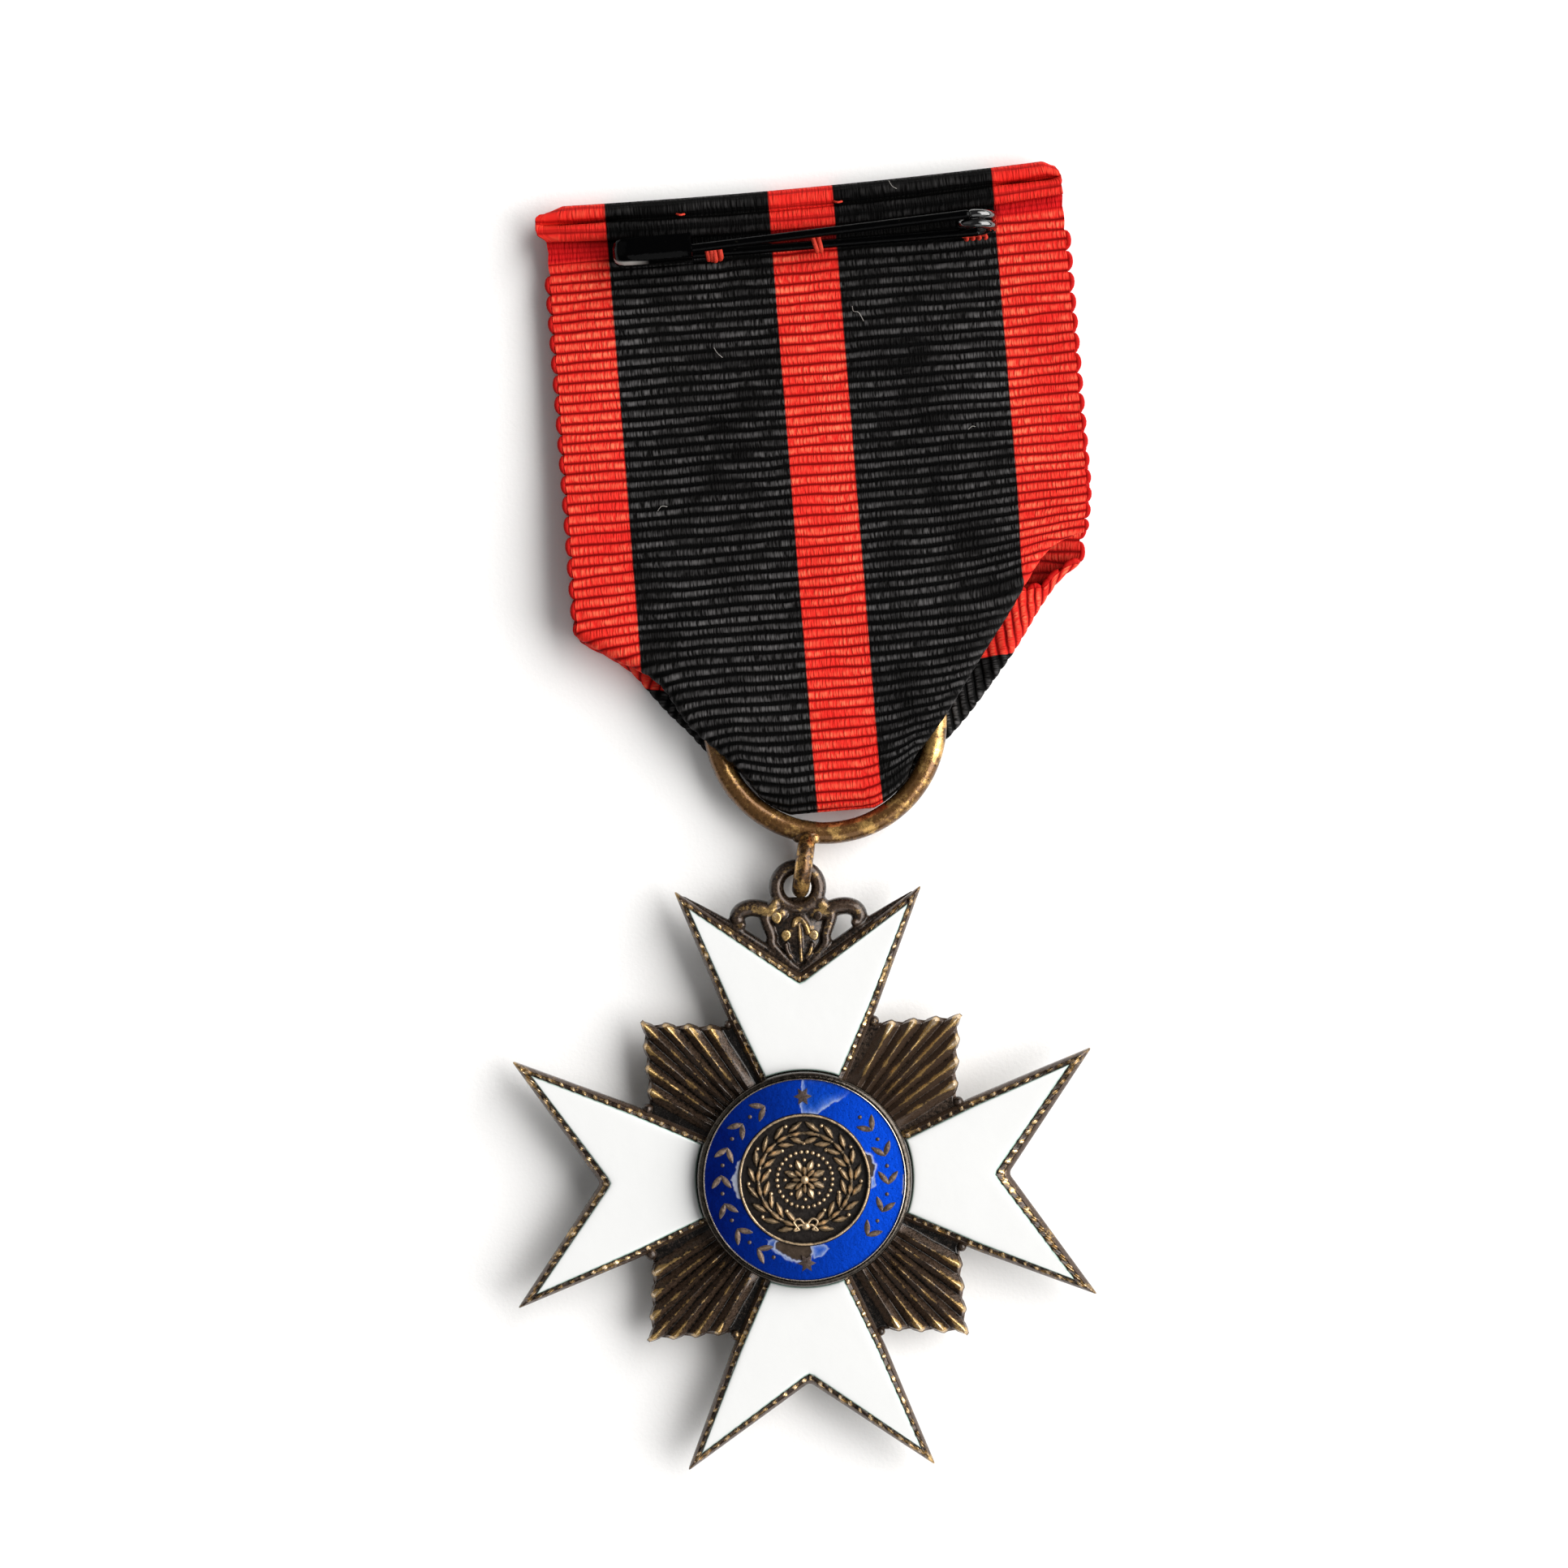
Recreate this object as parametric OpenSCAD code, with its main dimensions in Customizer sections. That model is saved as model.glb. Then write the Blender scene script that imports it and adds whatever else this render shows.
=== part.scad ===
// Order badge: an eight-pointed knight's cross with rays between its arms. It hangs by
// an eye, a loop and a ring from a folded ribbon that has a safety pin sewn on its back.
// It lies on its front. +Z points up out of its back, +Y runs along the cross towards
// the ribbon, and the origin is on the surface under the middle of the cross.

/* [Cross] */
// Distance from the middle of the cross to the tips, along the arm
tip_y = 21.05; // [19:0.05:24]
// Half the distance between the two tips of an arm
tip_x = 9; // [8:0.1:9.6]
// Distance from the middle of the cross to the notch between two tips
notch_y = 14.8; // [13.5:0.1:15.5]
// Half the width of an arm at its waist
waist_x = 5.55; // [5:0.05:6]
// Half the width of an arm where the medallion covers it
root_x = 3.36; // [3:0.02:3.6]
// Thickness of the plate that the arms are cut from
plate_t = 1.5; // [1:0.1:1.8]
// Thickness over the rims on both faces
rim_t = 2; // [1.9:0.05:2.4]
// Width of the sloping edge outside the rim
bevel_w = 0.22; // [0.1:0.02:0.3]
// Width of the rim round the enamel
rim_w = 0.35; // [0.25:0.05:0.5]
// Height of the middle plane of the cross above the surface
mid_z = 2.7; // [2.6:0.05:3]

/* [Rays] */
// Distance from the middle to the outer edge of a burst of rays
ray_reach = 11.6; // [10.5:0.1:12]
// Distance between two ray tips along that edge
ray_pitch = 1.62; // [1.4:0.02:1.7]
// Height of a ray's crest above the middle plane
ray_crest = 0.85; // [0.7:0.05:0.95]

/* [Medallion] */
// Outer radius of the medallion's bezel
bezel_r = 7.75; // [7.4:0.05:8]
// Outer radius of the blue enamel ring
blue_r = 7.25; // [7:0.05:7.3]
// Outer radius of the thin ring inside the blue enamel
inner_ring_r = 4.78; // [4.5:0.02:5]
// Radius of the dark disc in the middle
disc_r = 4.55; // [4.2:0.05:4.6]
// Thickness of the medallion on the side that shows
back_t = 1.5; // [1.3:0.1:1.8]

/* [Ring and loop] */
// Radius of the ribbon ring, to the middle of its wire
ring_r = 8.05; // [7.8:0.05:8.4]
// Radius of the ribbon ring's wire
ring_wire_r = 0.8; // [0.7:0.05:0.85]
// Radius of the loop, to the middle of its wire
loop_r = 1.75; // [1.7:0.05:1.8]
// Radius of the loop's wire
loop_wire_r = 0.58; // [0.5:0.02:0.6]

/* [Ribbon] */
// Width of the ribbon
ribbon_w = 38; // [37:0.5:40]
// Length of the ribbon from the middle of the ring to the top of its hem
ribbon_top = 39; // [38:0.1:42]
// Thickness of the ribbon as a solid wall
cloth_t = 1; // [0.9:0.05:1]
// Lean of the ribbon from the line of the cross
ribbon_lean = 3.2; // [0:0.1:5]

/* [Safety pin] */
// Radius of the pin's wire
pin_wire_r = 0.33; // [0.3:0.01:0.34]
// Radius of the pin's coil, to the middle of its wire
coil_r = 1.2; // [1:0.05:1.4]
// Length of the pin's cap
cap_l = 5.7; // [5:0.1:7]

/* [Hidden] */
$fn = 64;
gap = 0.05;
far = 40;

waist_y = 12.25;
root_y = 7.45;
hub_r = bezel_r - gap;
cell_floor = 0.35;
enamel_top = rim_t / 2 - 0.03;
plate_top = mid_z + plate_t / 2;
plate_bottom = mid_z - plate_t / 2;

ray_count = 4;
ray_step_down = 0.1;
ray_notch = 0.3;
ray_plate_t = 1;

eye = [0, 21];
eye_hole = [0, 21.2];
eye_r = 2.03;
eye_hole_r = 1.1;
hanger_t = 1.4;

back_z = plate_top + gap;
back_top = back_z + back_t;
blue_floor = back_z + 0.8;
disc_top = back_z + 0.95;

ring_at = [2.28, 32.98];
ring_z = 2.1;
loop_tilt = 9;
loop_at = [0.48, 22.64];
loop_z = 2.6;

half_w = ribbon_w / 2;
ribbon_shift = 1.45;
fold_r = 2.1;
fold_v = -4.3;
back_layer_z = 2 * fold_r - cloth_t;
fold_limit_r = ring_r - ring_wire_r - 0.25;

pin_z = 3.12;
arm_v = 34.5;
coil_u = 12.3;
coil_pitch = 0.72;
coil_turns = 1.5;
needle_v = arm_v + coil_pitch * coil_turns;
needle_z = pin_z + 2 * coil_r;
needle_l = 24.4;
needle_u = coil_u - 0.7;
needle_point_l = 4;
needle_yaw = 2.4;
needle_dip = 1.2;
cap_u = -14;
cap_wall = 0.3;

// A point's unit vector, and the polygon of points moved inwards by d.
function unit(v) = v / norm(v);
function across(v) = [-v.y, v.x];
function inset_point(a, b, c, d) =
  let (n = unit(across(b - a)), m = unit(across(c - b)))
  b + d * (n + m) / (1 + n * m);
function inset(points, d) =
  let (n = len(points))
  [for (i = [0:n - 1]) inset_point(points[(i + n - 1) % n], points[i], points[(i + 1) % n], d)];
function mirrored(points) = [for (p = points) [-p.x, p.y]];
function reversed(points) = [for (i = [len(points) - 1:-1:0]) points[i]];
function swapped(points) = [for (p = points) [p.y, p.x]];

// Half an arm's outline as [x, y], from its hidden root to the notch between its tips.
arm_half = [
  [root_x - 1.1, 5],
  [root_x, root_y],
  [waist_x, waist_y],
  [tip_x, tip_y]
];
arm_points = concat(arm_half, [[0, notch_y]], mirrored(reversed(arm_half)));

module arm(d) {
  polygon(inset(arm_points, d));
}

module each_arm() {
  for (i = [0:3]) {
    rotate(90 * i) children();
  }
}

// One burst's outer edge: ray tips and the dips between them, from the diagonal to an arm.
function ray_tip(k) = [ray_reach - ray_pitch * k, ray_reach - ray_step_down * k];
function ray_dip(k) = ray_tip(k) - [0.6 * ray_pitch, ray_notch];
ray_edge = [for (k = [0:ray_count - 1]) each [ray_tip(k), ray_dip(k)]];

module burst_outline() {
  polygon(concat([[3, 3]], reversed(swapped(ray_edge)), ray_edge));
}

module ridge(k) {
  side = ray_crest * sqrt(2);
  rotate(atan2(ray_tip(k).y, ray_tip(k).x)) {
    translate([far / 2, 0, 0]) rotate([45, 0, 0]) cube([far, side, side], center = true);
  }
}

module burst() {
  linear_extrude(ray_plate_t, center = true) burst_outline();
  intersection() {
    linear_extrude(rim_t, center = true) burst_outline();
    union() {
      for (k = [0:ray_count - 1]) {
        ridge(k);
        mirror([1, -1, 0]) ridge(k);
      }
    }
  }
}

// Right half of the hanger's top line as [x, y], from the eye down to the arm's edge.
hanger_half = [
  [1.9, 20.4],
  [2.15, 19.85],
  [2.7, 20.05],
  [3.4, 20.2],
  [4.1, 20.1],
  [4.6, 19.75],
  [4.95, 19.3],
  [5.25, 19],
  [5.7, 18.6],
  [0, notch_y - 0.5]
];
// The opening under the hanger's right scroll.
scroll_hole = [
  [3.55, 19.05],
  [2.8, 18.6],
  [2.3, 18],
  [2.2, 17.3],
  [3.1, 17.4],
  [3.9, 18],
  [4.05, 18.25],
  [3.85, 18.65]
];
// Raised drops on the hanger as [x, y, radius].
drops = [
  [-1.5, 18.9, 0.42],
  [1.5, 18.9, 0.42],
  [-0.95, 17.6, 0.38],
  [0.95, 17.6, 0.38],
  [0.05, 18.75, 0.45]
];

module hanger() {
  difference() {
    union() {
      linear_extrude(hanger_t, center = true) {
        polygon(concat(reversed(hanger_half), mirrored(hanger_half)));
        translate(eye) circle(eye_r);
      }
      for (d = drops) {
        translate([d.x, d.y, hanger_t / 2 - 0.1]) sphere(d[2]);
      }
      translate([0, 15.9, 0]) cube([0.3, 5.4, hanger_t + 0.5], center = true);
    }
    linear_extrude(far, center = true) {
      polygon(scroll_hole);
      polygon(mirrored(scroll_hole));
    }
    translate(eye_hole) cylinder(r = eye_hole_r, h = far, center = true);
  }
}

module cross_frame() {
  color("#6b4f2a") translate([0, 0, mid_z]) {
    difference() {
      union() {
        each_arm() {
          linear_extrude(plate_t, center = true) arm(0);
          linear_extrude(rim_t, center = true) arm(bevel_w);
          burst();
        }
        cylinder(r = hub_r, h = plate_t, center = true);
        hanger();
      }
      each_arm() {
        for (side = [0, 1]) {
          mirror([0, 0, side]) translate([0, 0, cell_floor]) {
            linear_extrude(far) intersection() {
              arm(bevel_w + rim_w);
              difference() {
                circle(far);
                circle(hub_r);
              }
            }
          }
        }
      }
      for (side = [0, 1]) {
        mirror([0, 0, side]) translate([0, 0, plate_t / 2]) cylinder(r = bezel_r + gap, h = far);
      }
    }
  }
}

module enamel(i, side) {
  color("white") translate([0, 0, mid_z]) mirror([0, 0, side]) rotate(90 * i) {
    translate([0, 0, cell_floor + gap]) linear_extrude(enamel_top - cell_floor - gap) {
      difference() {
        arm(bevel_w + rim_w + gap);
        circle(bezel_r + 2 * gap);
      }
    }
  }
}

// A leaf between two points of one radius: the overlap of two circles.
module leaf(length, width) {
  r = (length * length + width * width) / (4 * width);
  intersection() {
    translate([0, r - width / 2]) circle(r);
    translate([0, width / 2 - r]) circle(r);
  }
}

module star(r) {
  for (turn = [0, 180]) {
    rotate(turn + 90) circle(r, $fn = 3);
  }
}

// Metal ornaments that stand in the blue enamel: two stars and a row of leaves.
module blue_ornaments(grow) {
  ornament_r = (blue_r + inner_ring_r) / 2;
  for (turn = [0, 180]) {
    rotate(turn) translate([0, ornament_r]) star(0.68 + grow);
  }
  for (side = [0, 180], k = [-2:2]) {
    rotate(side + 27 * k) translate([ornament_r, 0]) {
      rotate(60) leaf(1.7 + 2 * grow, 0.62 + 2 * grow);
      rotate(120) leaf(1.7 + 2 * grow, 0.62 + 2 * grow);
    }
  }
}

// A sprig of leaves that bends up round one side of the disc.
module sprig() {
  for (k = [0:5]) {
    rotate(-62 + 22 * k) translate([3, 0]) {
      rotate(58) leaf(1.6, 0.55);
      rotate(122) leaf(1.6, 0.55);
    }
  }
}

module relief() {
  sprig();
  mirror([1, 0]) sprig();
  for (turn = [0:60:359]) {
    rotate(turn) translate([0.75, 0]) leaf(1.5, 0.7);
  }
  circle(0.45);
}

module medallion_back() {
  color("#4a3820") translate([0, 0, back_z]) {
    difference() {
      cylinder(r = bezel_r, h = back_t);
      translate([0, 0, blue_floor - back_z]) cylinder(r = blue_r + gap, h = far);
    }
    cylinder(r = inner_ring_r, h = blue_floor - back_z);
    difference() {
      cylinder(r = inner_ring_r, h = back_t - 0.05);
      translate([0, 0, disc_top - back_z]) cylinder(r = disc_r, h = far);
    }
    linear_extrude(back_t - 0.1) relief();
    linear_extrude(back_t - 0.1) blue_ornaments(0);
  }
}

module blue_enamel() {
  color("#1226b8") translate([0, 0, blue_floor + gap]) {
    linear_extrude(back_top - 0.15 - blue_floor - gap) difference() {
      circle(blue_r);
      circle(inner_ring_r + gap);
      blue_ornaments(gap);
    }
  }
}

module medallion_front() {
  color("#8a6a35") difference() {
    cylinder(r = bezel_r, h = plate_bottom - gap);
    translate([0, 0, -1]) difference() {
      cylinder(r = blue_r, h = 1.3);
      cylinder(r = blue_r - 0.35, h = far);
    }
  }
}

module torus(r, wire_r) {
  rotate_extrude() translate([r, 0]) circle(wire_r);
}

module ribbon_ring() {
  color("#9a7a3c") {
    translate([ring_at.x, ring_at.y, ring_z]) torus(ring_r, ring_wire_r);
    translate([loop_at.x, loop_at.y, loop_z]) rotate([0, 90, -loop_tilt]) torus(loop_r, loop_wire_r);
  }
}

// The ribbon's own frame: u across it and v along it, from the middle of the ring.
module at_ribbon() {
  translate([ring_at.x, ring_at.y, 0]) rotate(ribbon_lean) translate([ribbon_shift, 0, 0]) children();
}

// A shape drawn in v and z, run along u between two values.
module run_u(u0, u1) {
  translate([u0, 0, 0]) rotate([90, 0, 90]) linear_extrude(u1 - u0) children();
}

// Outlines of the ribbon's two layers as [u, v]; the left and right edges are straight
// down to the corners, where the cloth is turned in along slanting folds.
front_outline = [
  [-half_w, ribbon_top - 1],
  [-half_w, 8.2],
  [-10.35, -1.7],
  [-7.5, fold_v],
  [4.7, fold_v],
  [7.05, -3.35],
  [half_w, 10.5],
  [half_w, ribbon_top - 1]
];
back_outline = [
  [-half_w, ribbon_top - 2],
  [-half_w, 7.7],
  [-16.1, 5.6],
  [-12.9, 2.3],
  [-10.3, -0.8],
  [-8.3, -3.5],
  [-7.5, fold_v],
  [4.7, fold_v],
  [7.5, -0.15],
  [9.1, 2.4],
  [13.7, 8.8],
  [15.2, 10.4],
  [16.3, 12.4],
  [half_w, 13],
  [half_w, ribbon_top - 2]
];
// Turned-in corners of the front layer as [u, v], each lying on its inner face.
front_flaps = [
  [[half_w, 10.3], [12, 8], [9.4, 2.6], [8.5, -1.4]],
  [[-half_w, 8], [-13.2, 6.6], [-11.8, 2], [-11.4, -0.4]]
];
// Underside of the back layer as [v, z], from the hem down to the fold over the ring.
back_rows = [
  [ribbon_top - 2.1, 1.3],
  [24, 1.7],
  [12, 2.7],
  [6, back_layer_z],
  [fold_v, back_layer_z]
];

// A round-edged wall of the hem as [v, z]: its middle line, and the middles of its round ends.
module roll(v, low, high, r) {
  for (z = [low, high]) {
    translate([v, z]) circle(r);
  }
  translate([v - r, low]) square([2 * r, high - low]);
}

// The hem: the cloth rolled over twice, so that two rolls run side by side on top.
module hem() {
  roll_r = 0.57;
  outer_top = 3;
  inner_v = ribbon_top - 2.13;
  inner_low = 1.8;
  inner_top = 3.25;
  under = [1.8, 1.6];
  run_u(-half_w, half_w) {
    roll(ribbon_top - roll_r, roll_r, outer_top - roll_r, roll_r);
    roll(inner_v, inner_low, inner_top - roll_r, roll_r);
    translate([ribbon_top - 2.4, 0]) square(under);
  }
}

// The bottom of the ribbon, bent round the ring's wire; its ends run a little into both layers.
module fold() {
  run_in = 1.5;
  intersection() {
    translate([0, fold_v, fold_r]) run_u(-half_w, half_w) difference() {
      union() {
        circle(fold_r);
        translate([0, -fold_r]) square([run_in, 2 * fold_r]);
      }
      circle(fold_r - cloth_t);
      translate([0, cloth_t - fold_r]) square([far, 2 * (fold_r - cloth_t)]);
      translate([run_in, -far / 2]) square([far, far]);
    }
    translate([-ribbon_shift, 0, -1]) cylinder(r = fold_limit_r, h = far);
  }
}

module ribbon() {
  back_top_rows = [for (p = back_rows) p + [0, cloth_t]];
  color("#b0201c") at_ribbon() {
    linear_extrude(cloth_t) polygon(front_outline);
    for (f = front_flaps) {
      translate([0, 0, cloth_t / 2]) linear_extrude(cloth_t * 1.4) polygon(f);
    }
    intersection() {
      run_u(-half_w, half_w) polygon(concat(back_rows, reversed(back_top_rows)));
      linear_extrude(far) polygon(back_outline);
    }
    hem();
    fold();
  }
}

// A round tube along points that run in planes of constant v, or nearly so.
module wire_tube(path, r, sides) {
  n = len(path);
  function along(i) = unit(path[min(i + 1, n - 1)] - path[max(i - 1, 0)]);
  function ring(i) = let (a = cross(along(i), [0, 1, 0]))
    [for (s = [0:sides - 1]) path[i] + r * (cos(360 * s / sides) * unit(a) + [0, sin(360 * s / sides), 0])];
  sides_faces = [for (i = [0:n - 2], s = [0:sides - 1]) let (t = (s + 1) % sides)
    [i * sides + s, i * sides + t, (i + 1) * sides + t, (i + 1) * sides + s]];
  polyhedron(
    points = [for (i = [0:n - 1]) each ring(i)],
    faces = concat(
      [[for (s = [sides - 1:-1:0]) s]],
      sides_faces,
      [[for (s = [0:sides - 1]) (n - 1) * sides + s]]
    )
  );
}

module pin_wire() {
  steps = 30;
  start = [cap_u + cap_wall + 0.1, arm_v, pin_z];
  coil = [for (i = [0:steps]) let (a = 360 * coil_turns * i / steps - 90)
    [coil_u + coil_r * cos(a), arm_v + coil_pitch * coil_turns * i / steps, needle_z - coil_r + coil_r * sin(a)]];
  finish = [coil_u - 0.3, needle_v, needle_z];
  color("#141414") at_ribbon() wire_tube(concat([start], coil, [finish]), pin_wire_r, 12);
}

module pin_cap() {
  low = pin_z - pin_wire_r - cap_wall;
  side = arm_v - pin_wire_r - 0.03 - cap_wall;
  width = 2;
  height = 3.6;
  mouth = [1.95, 3.3];
  color("#141414") at_ribbon() {
    run_u(cap_u, cap_u + cap_l) translate([side, low - 0.03]) difference() {
      square([width, height]);
      translate([cap_wall, cap_wall]) square([width - 2 * cap_wall, height - 2 * cap_wall]);
      translate([width / 2, mouth[0]]) square([width, mouth[1] - mouth[0]]);
    }
    run_u(cap_u, cap_u + cap_wall) translate([side, low - 0.03]) square([width, height]);
  }
}

module pin_needle() {
  shank_l = needle_l - needle_point_l;
  color("#141414") at_ribbon() translate([needle_u, needle_v, needle_z]) {
    sphere(pin_wire_r);
    rotate([0, 0, needle_yaw]) rotate([0, -90 - needle_dip, 0]) {
      cylinder(r = pin_wire_r, h = shank_l);
      translate([0, 0, shank_l]) cylinder(r1 = pin_wire_r, r2 = 0.08, h = needle_point_l);
    }
  }
}

ribbon();
ribbon_ring();
cross_frame();
enamel(0, 0);  // enamel_back_1
enamel(1, 0);  // enamel_back_2
enamel(2, 0);  // enamel_back_3
enamel(3, 0);  // enamel_back_4
enamel(0, 1);  // enamel_front_1
enamel(1, 1);  // enamel_front_2
enamel(2, 1);  // enamel_front_3
enamel(3, 1);  // enamel_front_4
medallion_back();
blue_enamel();
medallion_front();
pin_wire();
pin_cap();
pin_needle();
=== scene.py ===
# Looks of the order badge: a white enamel cross with rays and a blue medallion, hung by a
# loop and a ring from a folded ribbon, lying back side up on a pale floor.
# Sizes are in millimetres in the frame's own axes, and make_piece turns them into metres.
import math

import bpy
import numpy as np
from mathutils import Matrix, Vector


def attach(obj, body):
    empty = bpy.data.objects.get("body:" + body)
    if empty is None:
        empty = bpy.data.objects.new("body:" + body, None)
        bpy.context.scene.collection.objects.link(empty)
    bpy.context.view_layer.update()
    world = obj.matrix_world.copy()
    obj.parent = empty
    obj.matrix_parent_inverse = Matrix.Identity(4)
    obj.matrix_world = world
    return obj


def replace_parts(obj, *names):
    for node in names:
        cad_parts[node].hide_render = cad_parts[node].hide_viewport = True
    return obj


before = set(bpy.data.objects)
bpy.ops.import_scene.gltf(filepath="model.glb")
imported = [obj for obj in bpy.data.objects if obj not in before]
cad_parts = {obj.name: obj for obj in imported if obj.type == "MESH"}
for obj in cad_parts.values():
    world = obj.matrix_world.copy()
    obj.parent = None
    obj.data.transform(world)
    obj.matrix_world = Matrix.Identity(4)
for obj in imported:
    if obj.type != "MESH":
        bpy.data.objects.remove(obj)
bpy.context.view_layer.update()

MM = 0.001

# Driving sizes of the cross. The places on an arm's outline are half its width there and the
# distance from the middle of the cross. The hidden root lies under the medallion.
MID_Z = 2.7
TIP = (9.0, 21.05)
NOTCH_Y = 14.8
WAIST = (5.55, 12.25)
ROOT = (3.36, 7.45)
HIDDEN_ROOT = (2.26, 5.0)
# Width of the metal border, and its height above the middle plane
RIM_INNER = 0.6
RIM_HEIGHT = 1.02
MILLING_PITCH = 0.87
MILLING_DEPTH = 0.15
# How many points each corner is rounded over, and how narrow the border is at the tips
CORNER_EASE = 3
TIP_TAPER = 0.8
# How much wider than its sides each arm's rim is along the notch: top, left, lower, right
NOTCH_RIMS = (1.0, 1.1, 1.0, 1.45)

# Driving sizes of the rays
RAY_REACH = 11.6
RAY_PITCH = 1.62
RAY_COUNT = 4
RAY_PLATE = 0.5
RAY_CREST = 0.86

# Driving sizes of the medallion
BEZEL_R = 7.75
BLUE_R = 7.25
INNER_RING_R = 4.78
DISC_R = 4.55
BACK_Z = 3.5
BLUE_TOP = BACK_Z + 1.35
DISC_TOP = BACK_Z + 0.95
METAL_TOP = BACK_Z + 1.45

# Driving sizes of the ring and the loop
RING_AT = (2.28, 32.98, 2.1)
RING_R = 8.05
RING_WIRE_R = 0.8
LOOP_AT = (0.48, 22.64, 2.6)
LOOP_R = 1.75
LOOP_WIRE_R = 0.63
LOOP_TILT = 9.0

# Driving sizes of the ribbon. In its own axes u runs across it and v along it, from the middle of
# the ring, and w is the length along the cloth from the bottom fold.
HALF_W = 19.0
RIBBON_LEAN = 3.2
RIBBON_SHIFT = 1.45
RIB = 0.74
FINE_RIB = 0.36
CLOTH_HALF = 0.15
RIB_RELIEF = 0.085
# Where the two black stripes begin and end, from the middle of the ribbon
STRIPE_EDGES = (-14.4, -2.5, 2.17, 13.8)
FOLD_V = -4.6
FOLD_R = 1.7
FOLD_MID_Z = 1.95
ROLL_R = 0.25
HEM_SLOPE = 0.013
RIBS_END_V = 35.0
SLIT_V = 37.7
RING_LIMIT_R = 6.97

# Driving sizes of the safety pin
PIN_R = 0.33
PIN_Z = 3.12
ARM_V = 34.5
COIL_U = 12.3
COIL_R = 1.2
COIL_PITCH = 0.72
COIL_TURNS = 1.5


# Geometry helpers

def unit(v):
    """A vector of length 1 that points the same way."""
    v = np.asarray(v, float)
    return v / np.linalg.norm(v)


def turned(points, degrees):
    """Points turned about the Z axis."""
    a = math.radians(degrees)
    c, s = math.cos(a), math.sin(a)
    p = np.array(points, float)
    out = p.copy()
    out[:, 0] = c * p[:, 0] - s * p[:, 1]
    out[:, 1] = s * p[:, 0] + c * p[:, 1]
    return out


def ripple(x, y, size, seed):
    """A smooth seeded wobble of x and y, about -1 to 1, whose waves are about size long."""
    draw = np.random.default_rng(seed)
    waves, usual_peak = 9, 4
    total = 0
    for _ in range(waves):
        way = draw.uniform(0, 2 * np.pi)
        length = size * draw.uniform(0.6, 1.7)
        phase = draw.uniform(0, 2 * np.pi)
        total = total + np.sin(2 * np.pi * (x * np.cos(way) + y * np.sin(way)) / length + phase)
    return total / usual_peak


def rise(x, low, high):
    """0 below low, 1 above high, and a smooth step in between."""
    t = np.clip((x - low) / (high - low), 0, 1)
    return t * t * (3 - 2 * t)


def within(x, start, full, fade, end):
    """0 before start and after end, 1 from full to fade, and smooth steps in between."""
    return rise(x, start, full) * (1 - rise(x, fade, end))


def smooth_line(points, step=0.25):
    """A smooth curve through the points, as points about step apart."""
    p = np.array(points, float)
    p = np.vstack([2 * p[0] - p[1], p, 2 * p[-1] - p[-2]])
    out = []
    for a, b, c, d in zip(p[:-3], p[1:-2], p[2:-1], p[3:]):
        n = max(2, int(np.linalg.norm(c - b) / step))
        t = np.linspace(0, 1, n, endpoint=False)[:, None]
        curve = 2 * b + (c - a) * t + (2 * a - 5 * b + 4 * c - d) * t**2
        out.append((curve + (3 * b - a - 3 * c + d) * t**3) / 2)
    return np.vstack([*out, p[-2][None]])


def grid_faces(rows, cols, loop_rows=False, loop_cols=False):
    """Quads between the points of a grid, stored row by row."""
    faces = []
    for i in range(rows if loop_rows else rows - 1):
        for j in range(cols if loop_cols else cols - 1):
            a, b = i * cols + j, i * cols + (j + 1) % cols
            k = (i + 1) % rows * cols
            faces.append((a, b, k + (j + 1) % cols, k + j))
    return faces


def end_faces(rows, cols):
    """The two faces that close a grid whose columns run round."""
    return [tuple(range(cols))[::-1], tuple((rows - 1) * cols + k for k in range(cols))]


def part(points, faces, **marks):
    """A closed shape: its points, faces and named values, one value for each point."""
    points = np.asarray(points, float).reshape(-1, 3)
    filled = {k: np.broadcast_to(np.asarray(v, float).ravel(), len(points)) for k, v in marks.items()}
    return points, faces, filled


def moved(shape, offset=(0, 0, 0), degrees=0):
    """A shape turned about the Z axis and then shifted."""
    points, faces, marks = shape
    return turned(points, degrees) + np.asarray(offset, float), faces, marks


def thick_sheet(middle, half, **marks):
    """A closed sheet about a grid of middle points, half as thick as half says at each point."""
    rows, cols, _ = middle.shape
    along = np.gradient(middle, axis=0)
    across = np.gradient(middle, axis=1)
    normal = np.cross(across, along)
    normal /= np.maximum(np.linalg.norm(normal, axis=2, keepdims=True), 1e-9)
    half = np.broadcast_to(half, (rows, cols))[..., None]
    n = rows * cols
    quads = np.array(grid_faces(rows, cols))
    top = [i * cols + j for i, j in border(rows, cols)]
    rim = [(a, a + n, b + n, b) for a, b in zip(top, top[1:] + top[:1])]
    faces = quads.tolist() + (quads[:, ::-1] + n).tolist() + rim
    points = np.concatenate([middle + normal * half, middle - normal * half]).reshape(-1, 3)
    doubled = {k: np.tile(np.broadcast_to(v, (rows, cols)).ravel(), 2) for k, v in marks.items()}
    return part(points, faces, **doubled)


def border(rows, cols):
    """The grid places round the edge of a grid, in order."""
    first = [(0, j) for j in range(cols)]
    right = [(i, cols - 1) for i in range(1, rows)]
    last = [(rows - 1, j) for j in range(cols - 2, -1, -1)]
    left = [(i, 0) for i in range(rows - 2, 0, -1)]
    return first + right + last + left


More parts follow.
